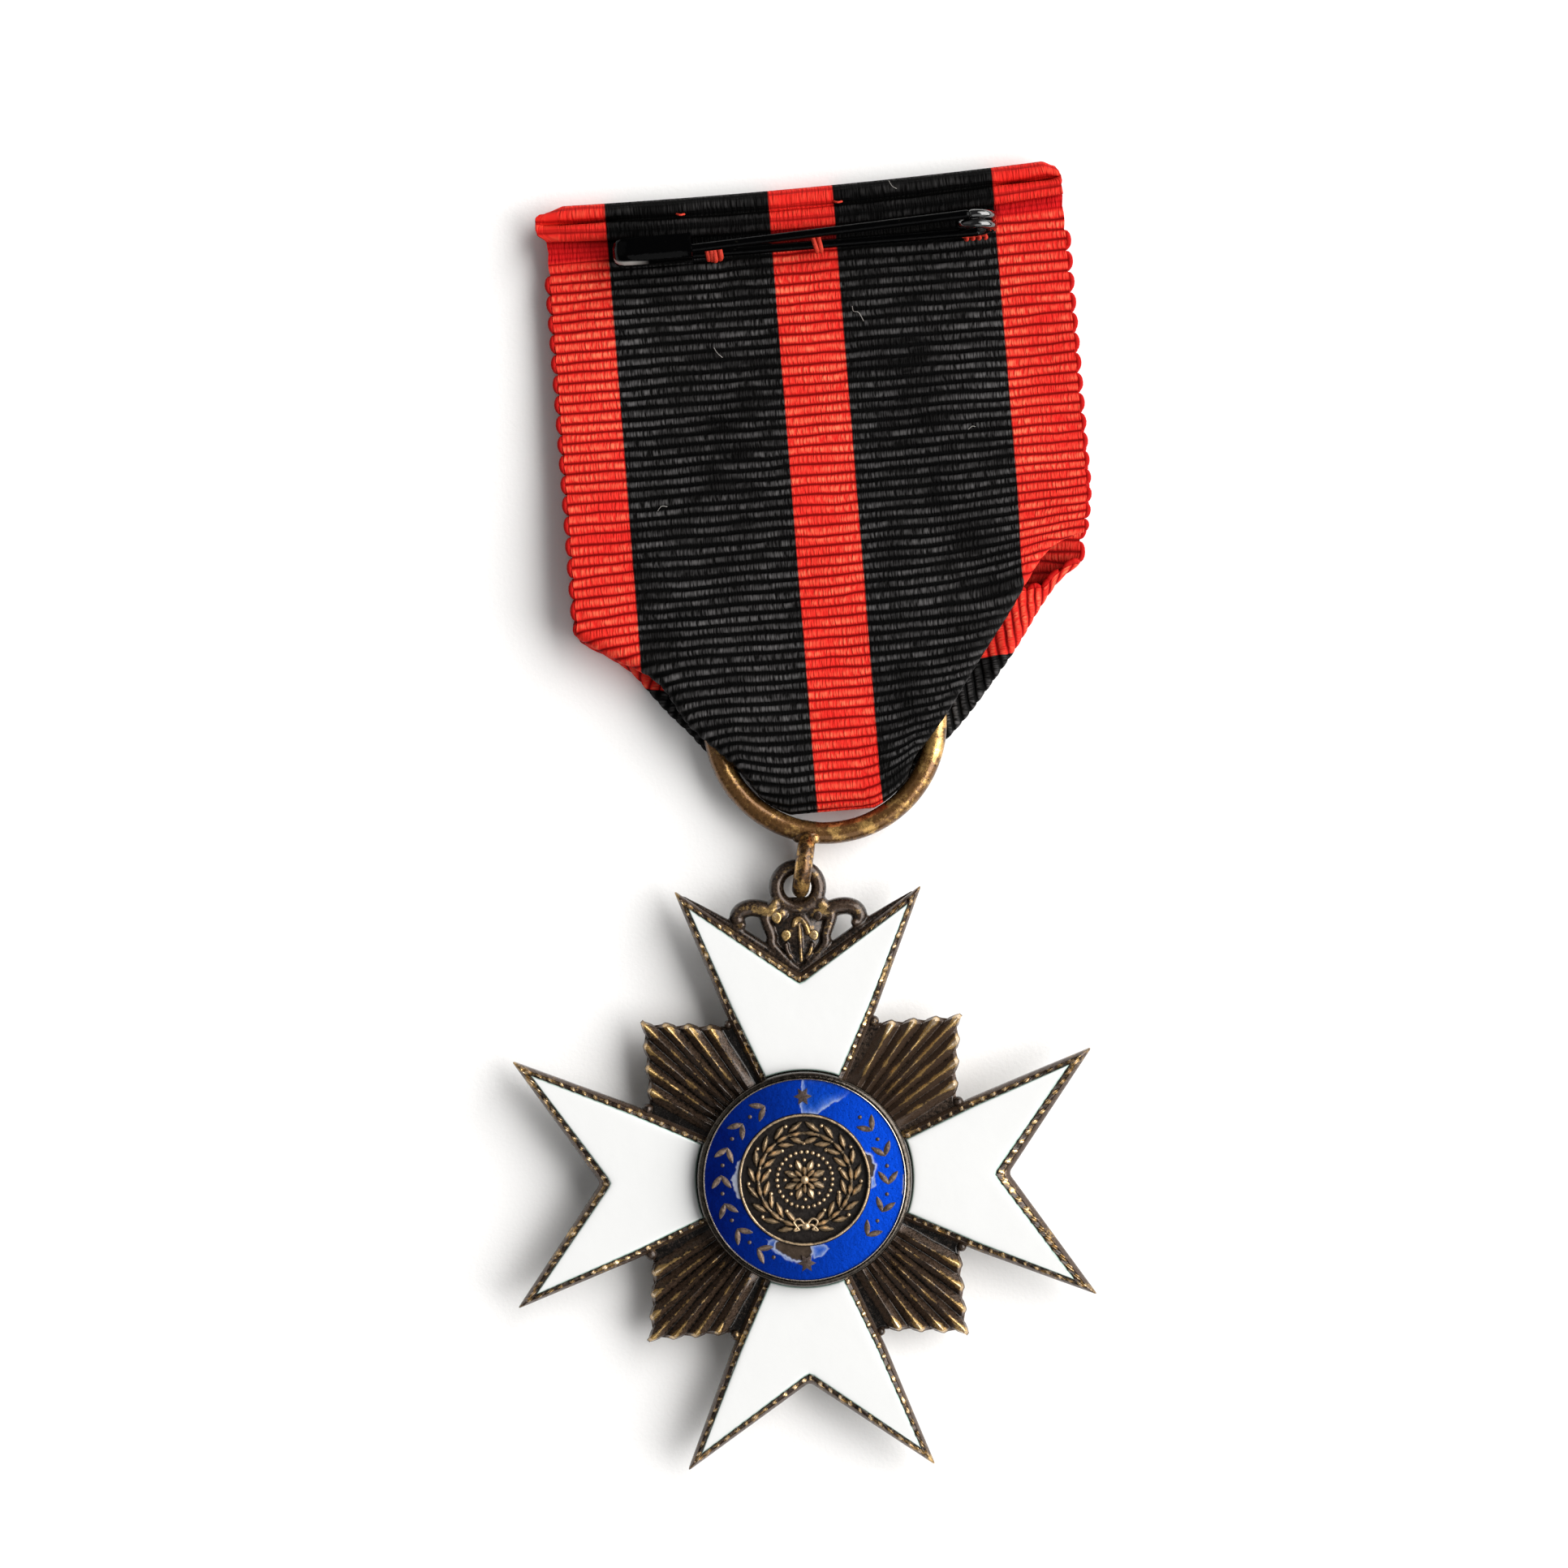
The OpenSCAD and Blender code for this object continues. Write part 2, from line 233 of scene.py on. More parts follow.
def tube(path, radius, sides=20, flat=1.0, **marks):
    """A round or flattened tube along a path, closed with round ends."""
    up = (0, 0, 1)
    path = np.asarray(path, float)
    count = len(path)
    radius = np.broadcast_to(radius, count).astype(float)
    ways = np.gradient(path, axis=0)
    rings = []
    side = None
    a = np.linspace(0, 2 * np.pi, sides, endpoint=False)
    for i in range(count):
        way = unit(ways[i])
        guess = np.cross(way, up) if side is None else side - way * (side @ way)
        if np.linalg.norm(guess) < 1e-6:
            guess = np.cross(way, (1, 0, 0))
        side = unit(guess)
        top = np.cross(side, way)
        rings.append(path[i] + radius[i] * (np.cos(a)[:, None] * side + flat * np.sin(a)[:, None] * top))
    swelling = np.linspace(0.35, 0.85, 3)
    ends = []
    for k, outward, shares in ((0, -1, swelling), (-1, 1, swelling[::-1])):
        tip = outward * unit(ways[k]) * radius[k]
        wide = rings[k] - path[k]
        ends.append([path[k] + wide * math.sqrt(1 - (1 - c) ** 2) + tip * (1 - c) for c in shares])
    rings = ends[0] + rings + ends[1]
    faces = grid_faces(len(rings), sides, loop_cols=True) + end_faces(len(rings), sides)
    extra = len(swelling)
    spread = {k: np.broadcast_to(np.asarray(v, float), count) for k, v in marks.items()}
    padded = {k: np.concatenate([[v[0]] * extra, v, [v[-1]] * extra]) for k, v in spread.items()}
    return part(np.concatenate(rings), faces, **{k: np.repeat(v, sides) for k, v in padded.items()})


def blob(centre, size, rows=10, cols=16, degrees=0, **marks):
    """An ellipsoid with a small flat at its top and bottom."""
    flat = 0.12
    lat = np.linspace(-np.pi / 2 + flat, np.pi / 2 - flat, rows)
    lon = np.linspace(0, 2 * np.pi, cols, endpoint=False)
    la, lo = np.meshgrid(lat, lon, indexing="ij")
    p = np.stack([np.cos(la) * np.cos(lo), np.cos(la) * np.sin(lo), np.sin(la)], 2).reshape(-1, 3) * size
    faces = grid_faces(rows, cols, loop_cols=True) + end_faces(rows, cols)
    return moved(part(p, faces, **marks), centre, degrees)


def revolved(profile, steps, **marks):
    """A ring whose section is the closed loop of (radius, height) points."""
    profile = np.array(profile, float)
    a = np.linspace(0, 2 * np.pi, steps, endpoint=False)[:, None]
    r, z = profile[None, :, 0], profile[None, :, 1]
    p = np.stack([r * np.cos(a), r * np.sin(a), z + 0 * a], 2)
    faces = grid_faces(steps, len(profile), loop_rows=True, loop_cols=True)
    spread = {k: np.tile(np.broadcast_to(v, len(profile)), steps) for k, v in marks.items()}
    return part(p, faces, **spread)


def make_piece(name, shapes, look, body="badge", sharp=45):
    """One object from closed shapes in millimetres, riding on a body."""
    points, faces, start = [], [], 0
    for p, f, _ in shapes:
        points.append(p)
        faces += [tuple(int(i) + start for i in face) for face in f]
        start += len(p)
    mesh = bpy.data.meshes.new(name)
    mesh.from_pydata((np.concatenate(points) * MM).tolist(), [], faces)
    for mark in sorted({k for s in shapes for k in s[2]}):
        values = [s[2].get(mark, np.zeros(len(s[0]))) for s in shapes]
        layer = mesh.attributes.new(mark, "FLOAT", "POINT")
        layer.data.foreach_set("value", np.concatenate(values).astype(np.float32))
    mesh.validate()
    mesh.shade_smooth()
    mesh.set_sharp_from_angle(angle=math.radians(sharp))
    mesh.materials.append(look)
    piece = bpy.data.objects.new(name, mesh)
    bpy.context.scene.collection.objects.link(piece)
    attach(piece, body)
    return piece


# Material helpers

class Value:
    """What a node gives. Values add, subtract and multiply like numbers."""

    def __init__(self, look, socket):
        self.look, self.socket = look, socket

    def maths(self, operation, other=0.0):
        """One step of arithmetic, such as SINE or MAXIMUM."""
        return self.look.node("Math", {0: self, 1: other}, operation=operation)

    def __add__(self, other):
        return self.maths("ADD", other)

    def __sub__(self, other):
        return self.maths("SUBTRACT", other)

    def __rsub__(self, other):
        return self.look.node("Math", {0: other, 1: self}, operation="SUBTRACT")

    def __mul__(self, other):
        return self.maths("MULTIPLY", other)

    def ranged(self, low, high, to_low=0.0, to_high=1.0):
        """The value of low to high turned into to_low to to_high, and kept within those."""
        ends = {"From Min": low, "From Max": high, "To Min": to_low, "To Max": to_high}
        return self.look.node("MapRange", {"Value": self, **ends}, clamp=True)


class Look:
    """A material, whose nodes are made by the methods and whose shader gets what feed says."""

    def __init__(self, name, **inputs):
        self.material = bpy.data.materials.new(name)
        self.material.use_nodes = True
        self.tree = self.material.node_tree
        self.shader = self.tree.nodes["Principled BSDF"]
        self.feed(**inputs)

    def put(self, target, key, value):
        """Links an input of the target node to a value, or sets it to a constant."""
        if isinstance(value, Value):
            self.tree.links.new(value.socket, target.inputs[key])
        else:
            target.inputs[key].default_value = value

    def feed(self, **inputs):
        """Gives inputs to the shader. Base_Color stands for Base Color, and so on."""
        for key, value in inputs.items():
            self.put(self.shader, key.replace("_", " "), value)

    def node(self, kind, inputs, output=0, **settings):
        """What a new shader node gives at one of its outputs."""
        made = self.tree.nodes.new("ShaderNode" + kind)
        for key, value in settings.items():
            setattr(made, key, value)
        for key, value in inputs.items():
            self.put(made, key, value)
        return Value(self, made.outputs[output])

    def mix(self, factor, a, b):
        """Colour a where the factor is 0 and colour b where it is 1."""
        colours = {k: c if isinstance(c, Value) else (*c, 1) for k, c in ((6, a), (7, b))}
        return self.node("Mix", {0: factor, **colours}, output=2, data_type="RGBA")

    def mark(self, name):
        """The named value that the points of the piece carry."""
        return self.node("Attribute", {}, output="Fac", attribute_name=name, attribute_type="GEOMETRY")

    def place(self):
        """Object coordinates in millimetres."""
        coords = self.node("TexCoord", {}, output="Object")
        return self.node("Mapping", {"Vector": coords, "Scale": (1 / MM,) * 3})

    def noise(self, at, size, detail=3, rough=0.55):
        """Cloudy noise of 0 to 1, whose largest clouds are about size wide."""
        inputs = {"Vector": at, "Scale": 1 / size, "Detail": detail, "Roughness": rough}
        return self.node("TexNoise", inputs)

    def bump(self, height, depth, **more):
        """Bumps from a height of 0 to 1 that stands for depth millimetres."""
        inputs = {"Height": height, "Distance": depth * MM, "Strength": 1.0, **more}
        self.feed(Normal=self.node("Bump", inputs))


def tarnished_metal(name, dark, brown, bright, start, patchy, fine=0.3, gloss=0.3,
                    pure=(0.5, 0.9), rub=0.9):
    """Old gilt metal: dark or brown tarnish, bright where it is worn, and palest where it is worn most, a
    tone that stands for polish and for a painted glint of light on beads, lips and tips and a painted
    reflection on the ring's right side. It turns bright at a wear of start, which broad patches shift by
    patchy and grains fine millimetres wide shift by rub. Pure is how metallic the tarnish and the bright
    metal are."""
    look = Look(name, Coat_Weight=0.25, Coat_Roughness=0.08)
    at = look.place()
    patches = look.noise(at, 1.3, 5, 0.6)
    grain = look.noise(at, fine, 4, 0.65)
    pits = look.noise(at, 0.1, 2, 0.5)
    worn = look.mark("wear") + (patches - 0.5) * (patchy * 4) + (grain - 0.5) * rub
    gold = worn.ranged(start, start + 0.35)
    browned = grain + look.mark("warm") * 0.2
    tone = look.mix(browned.ranged(0.35, 0.65), dark, brown)
    # Where the metal is worn most it turns pale: partly polish, partly a painted glint of light
    polish_and_glint = tuple(0.3 + 0.9 * c for c in bright)
    gilt = look.mix(worn.ranged(start + 0.5, start + 0.85), bright, polish_and_glint)
    look.feed(Base_Color=look.mix(gold, tone, gilt), Metallic=gold.ranged(0, 1, *pure),
              Roughness=grain.ranged(0.3, 0.7, gloss, gloss + 0.2))
    look.bump(grain * 0.7 + pits * 0.3, 0.035)
    return look.material


def cloth_look():
    """Ribbed silk: stripes across, ribs along and fine warp threads over each rib, with painted shade in the
    grooves, painted highlights along the crests and painted shade where the cloth lies in shadow.
    """
    look = Look("ribbed_silk", Specular_IOR_Level=0.04)
    marks = ("across", "along", "ribbing", "cord", "dim")
    across, along, ribbing, cord, dim = (look.mark(name) for name in marks)
    at = look.node("CombineXYZ", {0: across, 1: along})

    def streaked(wide, long, detail, rough):
        """Noise on the cloth with wide waves to the millimetre across it and long ones along it."""
        here = look.node("Mapping", {"Vector": at, "Scale": (wide, long, 1)})
        return look.noise(here, 1, detail, rough)

    ticks = streaked(6.0, 1.1, 1, 0.5).ranged(0.33, 0.67)
    streaks = streaked(0.34, 0.75, 2, 0.6).ranged(0.4, 0.6)
    patches = streaked(0.16, 0.05, 2, 0.6).ranged(0.35, 0.65)
    sway = (streaked(0.34, 0.75, 1, 0.5) - 0.5) * 0.25
    ribs = ((along + sway) * (math.pi / RIB)).maths("SINE").maths("ABSOLUTE")
    fine = (along * (math.pi / FINE_RIB)).maths("SINE").maths("ABSOLUTE")
    crest = ribs.maths("MAXIMUM", (1 - ribbing) * fine.ranged(0, 1, 0.2, 0.85))
    # Painted shade and light: the cloth is painted darker in the grooves between ribs and lighter on their
    # crests, and the plain hem darker in the grooves of its fine ribs
    lit = crest.ranged(0.12, 0.6)
    # Painted highlight: a bright streak of fine ticks along each rib's crest, orange on the red and grey on
    # the black, left out where shade is painted
    top = crest.ranged(0.55, 0.97) * ribbing.ranged(0.3, 1, 0, 0.62)
    painted_highlight = top * ticks * (streaks + patches * 0.9) * (1 - dim)
    red = look.mix(lit, (0.17, 0.0015, 0.0015), (0.68, 0.019, 0.014))
    plain_red = look.mix(fine, (0.36, 0.004, 0.005), (0.54, 0.008, 0.009))
    red = look.mix(ribbing.ranged(0, 0.4), plain_red, red)
    red = look.mix(painted_highlight, red, (0.92, 0.18, 0.09))
    red = look.mix(cord, red, (0.42, 0.008, 0.007))
    # Painted shade: the red turns deep crimson where the cloth lies in shadow, in the fold's pocket and under
    # the pin
    red = look.mix(dim, red, (0.07, 0.0006, 0.0008))
    black = look.mix(lit, (0.0005, 0.0005, 0.0005), (0.0021, 0.0019, 0.0018))
    plain_black = look.mix(fine, (0.0004, 0.0004, 0.0004), (0.0016, 0.0015, 0.0015))
    black = look.mix(ribbing.ranged(0.4, 0.9), plain_black, black)
    black = look.mix(painted_highlight, black, (0.088, 0.084, 0.084))
    blur = 0.05
    inside = [across.ranged(edge - blur, edge + blur) for edge in STRIPE_EDGES]
    dark = inside[0] - inside[1] + (inside[2] - inside[3])
    look.feed(Base_Color=look.mix(dark, red, black), Roughness=ticks.ranged(0, 1, 0.68, 0.5))
    look.bump(ticks * lit, 0.05)
    return look.material


def enamel_look():
    """White glass enamel with a faint green line where it thins against the metal."""
    look = Look("white_glass_enamel", IOR=1.5, Coat_Weight=0.2, Coat_Roughness=0.04)
    at = look.place()
    cloud = look.noise(at, 2.5)
    edge = (look.mark("inward") + cloud * 0.06).ranged(0.06, 0.17)
    white = look.mix(cloud, (0.765, 0.77, 0.765), (0.785, 0.79, 0.785))
    look.feed(Base_Color=look.mix(edge, (0.26, 0.40, 0.34), white),
              Roughness=look.noise(at, 0.4, 2).ranged(0.3, 0.7, 0.1, 0.2))
    look.bump(cloud, 0.03)
    return look.material


def blue_look():
    """Deep blue glass enamel, white where it is bruised and bare metal where it is gone, painted darker on
    its left side and brighter on its right as painted light.
    """
    look = Look("blue_glass_enamel", Specular_IOR_Level=0.0, Coat_Roughness=0.05)
    at = look.place()
    flat = look.node("VectorMath", {0: at, 1: (1, 1, 0)}, operation="MULTIPLY")
    outward = look.node("VectorMath", {0: flat}, operation="NORMALIZE")
    lean = {0: outward, 1: (0.14, 0.14, 0), 2: (0, 0, 1)}
    leaning = look.node("VectorMath", lean, operation="MULTIPLY_ADD")
    ground = look.node("VectorMath", {0: leaning}, operation="NORMALIZE")
    cloud = look.noise(at, 1.4, 4)
    fine = look.noise(at, 0.35, 4)
    specks = look.noise(at, 0.09, 1).ranged(0.66, 0.72)
    chip, bare = look.mark("chip"), look.mark("bare")
    # Painted light: the blue is painted darker towards the left and brighter towards the right, as if lit
    # from the right, with some cloudiness; thin holds this painted gradient, not a change in the glass's
    # thickness
    thin = look.node("SeparateXYZ", {0: at}).ranged(-6.5, 6.5) + cloud * 0.25
    blue = look.mix(thin, (0.0002, 0.001, 0.06), (0.002, 0.05, 0.48))
    blue = look.mix(specks, blue, (0.0, 0.003, 0.05))
    blue = look.mix(look.mark("glow"), blue, (0.01, 0.13, 0.55))
    pale = look.mix(fine, (0.28, 0.34, 0.46), (0.62, 0.62, 0.62))
    metal = look.mix(fine, (0.02, 0.014, 0.01), (0.09, 0.065, 0.048))
    lost = chip + bare
    look.feed(Base_Color=look.mix(bare, look.mix(chip, blue, pale), metal),
              Metallic=lost.ranged(0, 1, 0.6, 0), Roughness=fine.ranged(0.3, 0.7, 0.5, 0.6),
              Coat_Weight=lost.ranged(0, 0.6, 0.2, 0.1))
    look.bump(fine, 0.05, Normal=ground)
    return look.material


def lacquer_look(name, sheen, coat):
    """Black lacquer, a little lighter in small worn specks, and pale grey where the bare mark is set: on the
    cap's end that patch is a painted highlight.
    """
    look = Look(name, Specular_IOR_Level=sheen, Coat_Weight=coat)
    at = look.place()
    wear = look.noise(at, 0.5, 5).ranged(0.66, 0.74)
    black = look.mix(wear, (0.0005, 0.0005, 0.0006), (0.008, 0.007, 0.006))
    look.feed(Base_Color=look.mix(look.mark("bare"), black, (0.36, 0.35, 0.33)),
              Roughness=look.noise(at, 0.8).ranged(0.3, 0.7, 0.04, 0.1))
    look.bump(look.noise(at, 0.35), 0.025)
    return look.material


def thread_look(name, low, high):
    """Fuzzy thread, of tones between two colours."""
    look = Look(name, Specular_IOR_Level=0.2)
    fuzz = look.noise(look.place(), 0.12)
    look.feed(Base_Color=look.mix(fuzz, low, high), Roughness=fuzz.ranged(0.3, 0.7, 0.5, 0.8))
    look.bump(fuzz, 0.05)
    return look.material


silk = cloth_look()
white_enamel = enamel_look()
blue_enamel = blue_look()
dull_lacquer = lacquer_look("black_lacquer_dull", 0.08, 0.0)
gloss_lacquer = lacquer_look("black_lacquer_gloss", 1.0, 1.0)
red_thread = thread_look("red_sewing_thread", (0.42, 0.009, 0.006), (0.68, 0.07, 0.035))
pale_fibre = thread_look("pale_fibre", (0.18, 0.17, 0.16), (0.36, 0.34, 0.31))
cross_metal = tarnished_metal(
    "cross_gilt", dark=(0.005, 0.0035, 0.0025), brown=(0.07, 0.043, 0.028), bright=(0.52, 0.33, 0.12),
    start=0.48, patchy=0.45, fine=0.22, gloss=0.16, pure=(0.45, 0.75))
ring_metal = tarnished_metal(
    "ring_gilt", dark=(0.035, 0.017, 0.007), brown=(0.17, 0.08, 0.024), bright=(0.66, 0.39, 0.125),
    start=0.4, patchy=0.62, gloss=0.16, pure=(0.6, 0.8))
bezel_metal = tarnished_metal(
    "bezel_gilt", dark=(0.035, 0.029, 0.023), brown=(0.10, 0.082, 0.065), bright=(0.55, 0.46, 0.35),
    start=0.6, patchy=0.25, gloss=0.13, pure=(1.0, 1.0), rub=0.4)
relief_metal = tarnished_metal(
    "medallion_gilt", dark=(0.010, 0.007, 0.006), brown=(0.020, 0.014, 0.011), bright=(0.66, 0.48, 0.29),
    start=0.66, patchy=0.1, pure=(0.5, 0.85))
ornament_metal = tarnished_metal(
    "ornament_gilt", dark=(0.05, 0.034, 0.028), brown=(0.10, 0.07, 0.06), bright=(0.30, 0.21, 0.15),
    start=0.8, patchy=0.2)


# Cross: arms

# Places in an arm's outline of the two edges along its notch, and of its two tips
NOTCH_EDGES = (3, 4)
TIPS = (3, 5)
# Lines round an arm's border: distance in from the edge, height above the middle plane, how
# worn and how warm the metal is there, and how deep the milling cuts it
BORDER_LINES = [
    (0.0, 0.32, 0.3, 1.0, 0.0),
    (0.07, 0.55, 0.35, 1.0, 0.0),
    (0.25, 0.80, 0.4, 1.0, 0.3),
    (0.30, 0.85, 1.05, 0.3, 0.9),
    (0.42, 0.94, 1.15, 0.0, 1.0),
    (0.54, RIM_HEIGHT, 0.45, 0.0, 0.9),
    (RIM_INNER, 0.97, 0.25, 0.0, 0.6),
    (RIM_INNER + 0.02, 0.5, 0.0, 0.0, 0.0),
]


def arm_edges(d, notch_rim=1.0):
    """An arm's outline moved inwards by d, along its notch by notch_rim times as much and less
    at its two tips."""
    half = [HIDDEN_ROOT, ROOT, WAIST, TIP]
    points = [*half, (0, NOTCH_Y), *[(-x, y) for x, y in reversed(half)]]
    p = np.array(points, float)
    ways = np.roll(p, -1, 0) - p
    inward = np.column_stack([-ways[:, 1], ways[:, 0]]) / np.linalg.norm(ways, axis=1)[:, None]
    reach = np.array([d * (notch_rim if k in NOTCH_EDGES else 1) for k in range(len(p))])
    steps = np.array([np.linalg.solve(inward[[k - 1, k]], reach[[k - 1, k]]) for k in range(len(p))])
    steps[list(TIPS)] *= TIP_TAPER
    return p + steps


def eased(line, reach):
    """A closed line with its corners rounded, by averaging each point with its neighbours."""
    return sum(np.roll(line, k, 0) for k in range(-reach, reach + 1)) / (2 * reach + 1)


def arm_frame(notch_rim):
    """The metal border of one arm: a sloping edge and a milled rim on both faces."""
    base = arm_edges(0)
    ways = np.roll(base, -1, 0) - base
    lengths = np.linalg.norm(ways, axis=1)
    ways /= lengths[:, None]
    before = np.cumsum(lengths) - lengths
    step = MILLING_PITCH / 8
    share = [np.linspace(0, 1, max(2, int(n / step)), endpoint=False) for n in lengths]
    rings, worn, warmed = [], [], []
    for side in (1, -1):
        rows, row_wear, row_warm = [], [], []
        for d, z, w, warmth, c in BORDER_LINES:
            edge = arm_edges(d, notch_rim)
            following = np.roll(edge, -1, 0)
            runs = [a + (b - a) * s[:, None] for a, b, s in zip(edge, following, share)]
            travel = np.concatenate([
                (run - start) @ way + so_far for run, start, way, so_far in zip(runs, base, ways, before)
            ])
            line = eased(np.concatenate(runs), CORNER_EASE)
            place_in_pitch = (travel / MILLING_PITCH + 0.4 * d + 0.07 * ripple(travel, 0, 3.0, 13)) % 1
            notch = rise(np.abs(place_in_pitch - 0.5), 0.08, 0.18) * c
            # Each notch of the milling is dark, and its beads and the tips are worn bright; where brightest,
            # this is partly a painted glint of light
            uneven = 0.3 * ripple(travel, 0.5 * d, 7.0, 12)
            jitter = 0.014 * ripple(travel, 7 * d, 0.9, 11)
            height = z - MILLING_DEPTH * notch + jitter * c
            rows.append(np.column_stack([line, side * height]))
            to_tip = np.min([np.linalg.norm(line - base[k], axis=1) for k in TIPS], axis=0)
            rubbed = (w + (0.3 + uneven) * (w > 0.5)) * (1 - 0.74 * notch)
            row_wear.append(rubbed + 0.5 * np.exp(-to_tip / 0.5))
            row_warm.append(np.full(len(travel), warmth))
        rings += rows[::side]
        worn += row_wear[::side]
        warmed += row_warm[::side]
    points = np.stack(rings)
    faces = grid_faces(len(rings), len(travel), loop_rows=True, loop_cols=True)
    return part(points + (0, 0, MID_Z), faces, wear=np.concatenate(worn), warm=np.concatenate(warmed))


def arm_cell(d, notch_rim):
    """The enamel's outline in one arm at a distance d inside the arm's edge."""
    p = arm_edges(d, notch_rim)
    cut_r = BEZEL_R + 0.1 + d - RIM_INNER
    a, b = p[1], p[2]
    way = unit(b - a)
    along = -(a @ way) + math.sqrt((a @ way) ** 2 - a @ a + cut_r**2)
    start = a + way * along
    angle = math.atan2(start[0], start[1])
    arc = [(cut_r * math.sin(t), cut_r * math.cos(t)) for t in np.linspace(-angle, angle, 15)[1:-1]]
    tip, notch = p[3], p[4]
    blunt = 0.45
    near = [notch + (q - notch) * blunt / np.linalg.norm(q - notch) for q in (tip, tip * (-1, 1))]
    vertex = notch + (0, blunt * 0.22)
    right = [start, b, tip, near[0]]
    left = [q * (-1, 1) for q in reversed(right)]
    left[0] = near[1]
    return np.array([*right, vertex, *left, *arc])


def arm_enamel(side, notch_rim):
    """A glossy enamel filling with a soft edge, on one face of one arm."""
    steps = [(RIM_INNER - 0.01, 0.55), (RIM_INNER, 0.86), (0.64, 0.93), (0.70, 0.965), (0.82, 0.99),
             (1.0, 1.0), (1.3, 1.005)]
    cells = [(arm_cell(d, notch_rim), z) for d, z in steps]
    rings = [np.column_stack([cell, np.full(len(cell), z)]) for cell, z in cells]
    inward = np.concatenate([np.full(len(rings[0]), d - RIM_INNER) for d, _ in steps])
    points = np.stack(rings) * (1, 1, side) + (0, 0, MID_Z)
    count = len(rings[0])
    faces = grid_faces(len(rings), count, loop_cols=True) + end_faces(len(rings), count)
    if side < 0:
        faces = [f[::-1] for f in faces]
    return part(points, faces, inward=inward)


def arm_web(notch_rim):
    """The plate between the two enamel fillings of one arm."""
    edge = arm_edges(RIM_INNER - 0.1, notch_rim)
    count = len(edge)
    points = [np.column_stack([edge, np.full(count, MID_Z + z)]) for z in (-0.45, 0.45)]
    return part(np.stack(points), grid_faces(2, count, loop_cols=True) + end_faces(2, count), wear=0.0)


# Cross: rays between the arms

def ray_tip(k):
    """The tip of a ray, counted from the middle of its burst."""
    return np.array([RAY_REACH - RAY_PITCH * k, RAY_REACH - 0.1 * k])


# How bright each burst of rays is made, partly by wear and partly as painted light: the upper right burst,
# which faces the light, is painted brighter and warmer. In order: upper right, upper left, lower left, lower
# right
BURST_WEAR_AND_LIGHT = (1.3, 0.95, 1.0, 1.0)


def burst_edge():
    """The outer line of a fan of rays in the first quarter, from one arm to the next."""
    near_arm = [(5.85, 11.1), (5.4, 11.12), (5.18, 11.35), (5.25, 12.0)]
    chain = []
    for k in range(RAY_COUNT):
        tip = ray_tip(k)
        dip = tip - (0.6 * RAY_PITCH, 0.3)
        chain += [tip + (0.12, -0.12), tip - (0.2, 0.0), tip - (0.5 * RAY_PITCH, 0.2), dip]
    half = smooth_line([*chain, *near_arm], 0.07)
    return np.concatenate([half[::-1], half[1:, ::-1]])


def burst(rubbed):
    """A fan of rays with round-cornered ends, ridged on both faces, in the first quarter."""
    edge = burst_edge()
    angle = np.degrees(np.arctan2(edge[:, 1], edge[:, 0]))
    tips = [math.degrees(math.atan2(t[1], t[0])) for t in map(ray_tip, range(RAY_COUNT))]
    crests = np.array(sorted({round(c, 6) for c in tips} | {round(90 - c, 6) for c in tips}))
    gaps = np.sort(np.abs(angle[:, None] - crests), axis=1)
    out_r = np.linalg.norm(edge, axis=1)[None]
    share = np.concatenate([np.linspace(0, 0.9, 16, endpoint=False), np.linspace(0.9, 1, 9)])
    root_r = 7.6
    radius = root_r + (out_r - root_r) * share[:, None]
    away = np.radians(gaps[:, 0])[None] * radius
    spacing = np.minimum(np.radians(gaps[:, 0] + gaps[:, 1])[None] * radius, 1.3)
    wave = ripple(radius * np.cos(np.radians(angle)), radius * np.sin(np.radians(angle)), 1.1, 5)
    slope = np.clip((away + 0.03 * wave) / (spacing / 2), 0.06, 1)
    crest = 1 - (slope - 0.06) ** 0.9
    end = rise(out_r - radius, 0.0, 0.34)
    start = rise(radius, 7.8, 9.0)
    level = RAY_PLATE - 0.22
    height = level + (RAY_CREST - level) * crest * (0.55 + 0.45 * start)
    height = 0.12 + (height - 0.12) * end + 0.014 * wave * end
    near_end = rise(radius, out_r - 1.5, out_r - 0.4)
    ridge = np.exp(-((away / (0.16 + 0.12 * near_end)) ** 2))
    worn = ridge * (0.5 + 0.2 * rise(radius, 9.5, out_r) + 0.5 * near_end)
    worn = rubbed * worn * rise(radius, 7.9, 8.8) * rise(out_r - radius, 0.02, 0.12) + 0.06 * wave
    # The burst's brightness also shifts its tone, so the upper right burst is painted warmer as painted light
    warm = np.sin(np.pi * slope) * 0.6 + (1 - end) + 3 * (rubbed - 1) - 0.9 * rise(slope, 0.75, 1.0)
    x, y = radius * np.cos(np.radians(angle))[None], radius * np.sin(np.radians(angle))[None]
    rows, cols = radius.shape
    upper = np.stack([x, y, MID_Z + height], 2)
    lower = np.stack([x, y, MID_Z - height], 2)[::-1]
    points = np.concatenate([upper, lower])
    faces = grid_faces(2 * rows, cols, loop_rows=True)
    first = [i * cols for i in range(2 * rows)]
    faces += [tuple(first[::-1]), tuple(i + cols - 1 for i in first)]
    worn, warm = (np.concatenate([v, v[::-1]]) for v in (worn, warm))
    return part(points, faces, wear=worn, warm=warm)


def solder_spots():
    """Small fillets of solder where the rays meet the arms, of uneven size."""
    spots = []
    draw = np.random.default_rng(21)
    for quarter in range(4):
        for x, y in ((5.25, 11.25), (11.25, 5.25)):
            size = draw.uniform(0.3, 0.45)
            spot = blob((x, y, MID_Z + 0.2), (size, size, 0.45), wear=0.35)
            spots.append(moved(spot, degrees=90 * quarter))
    return spots


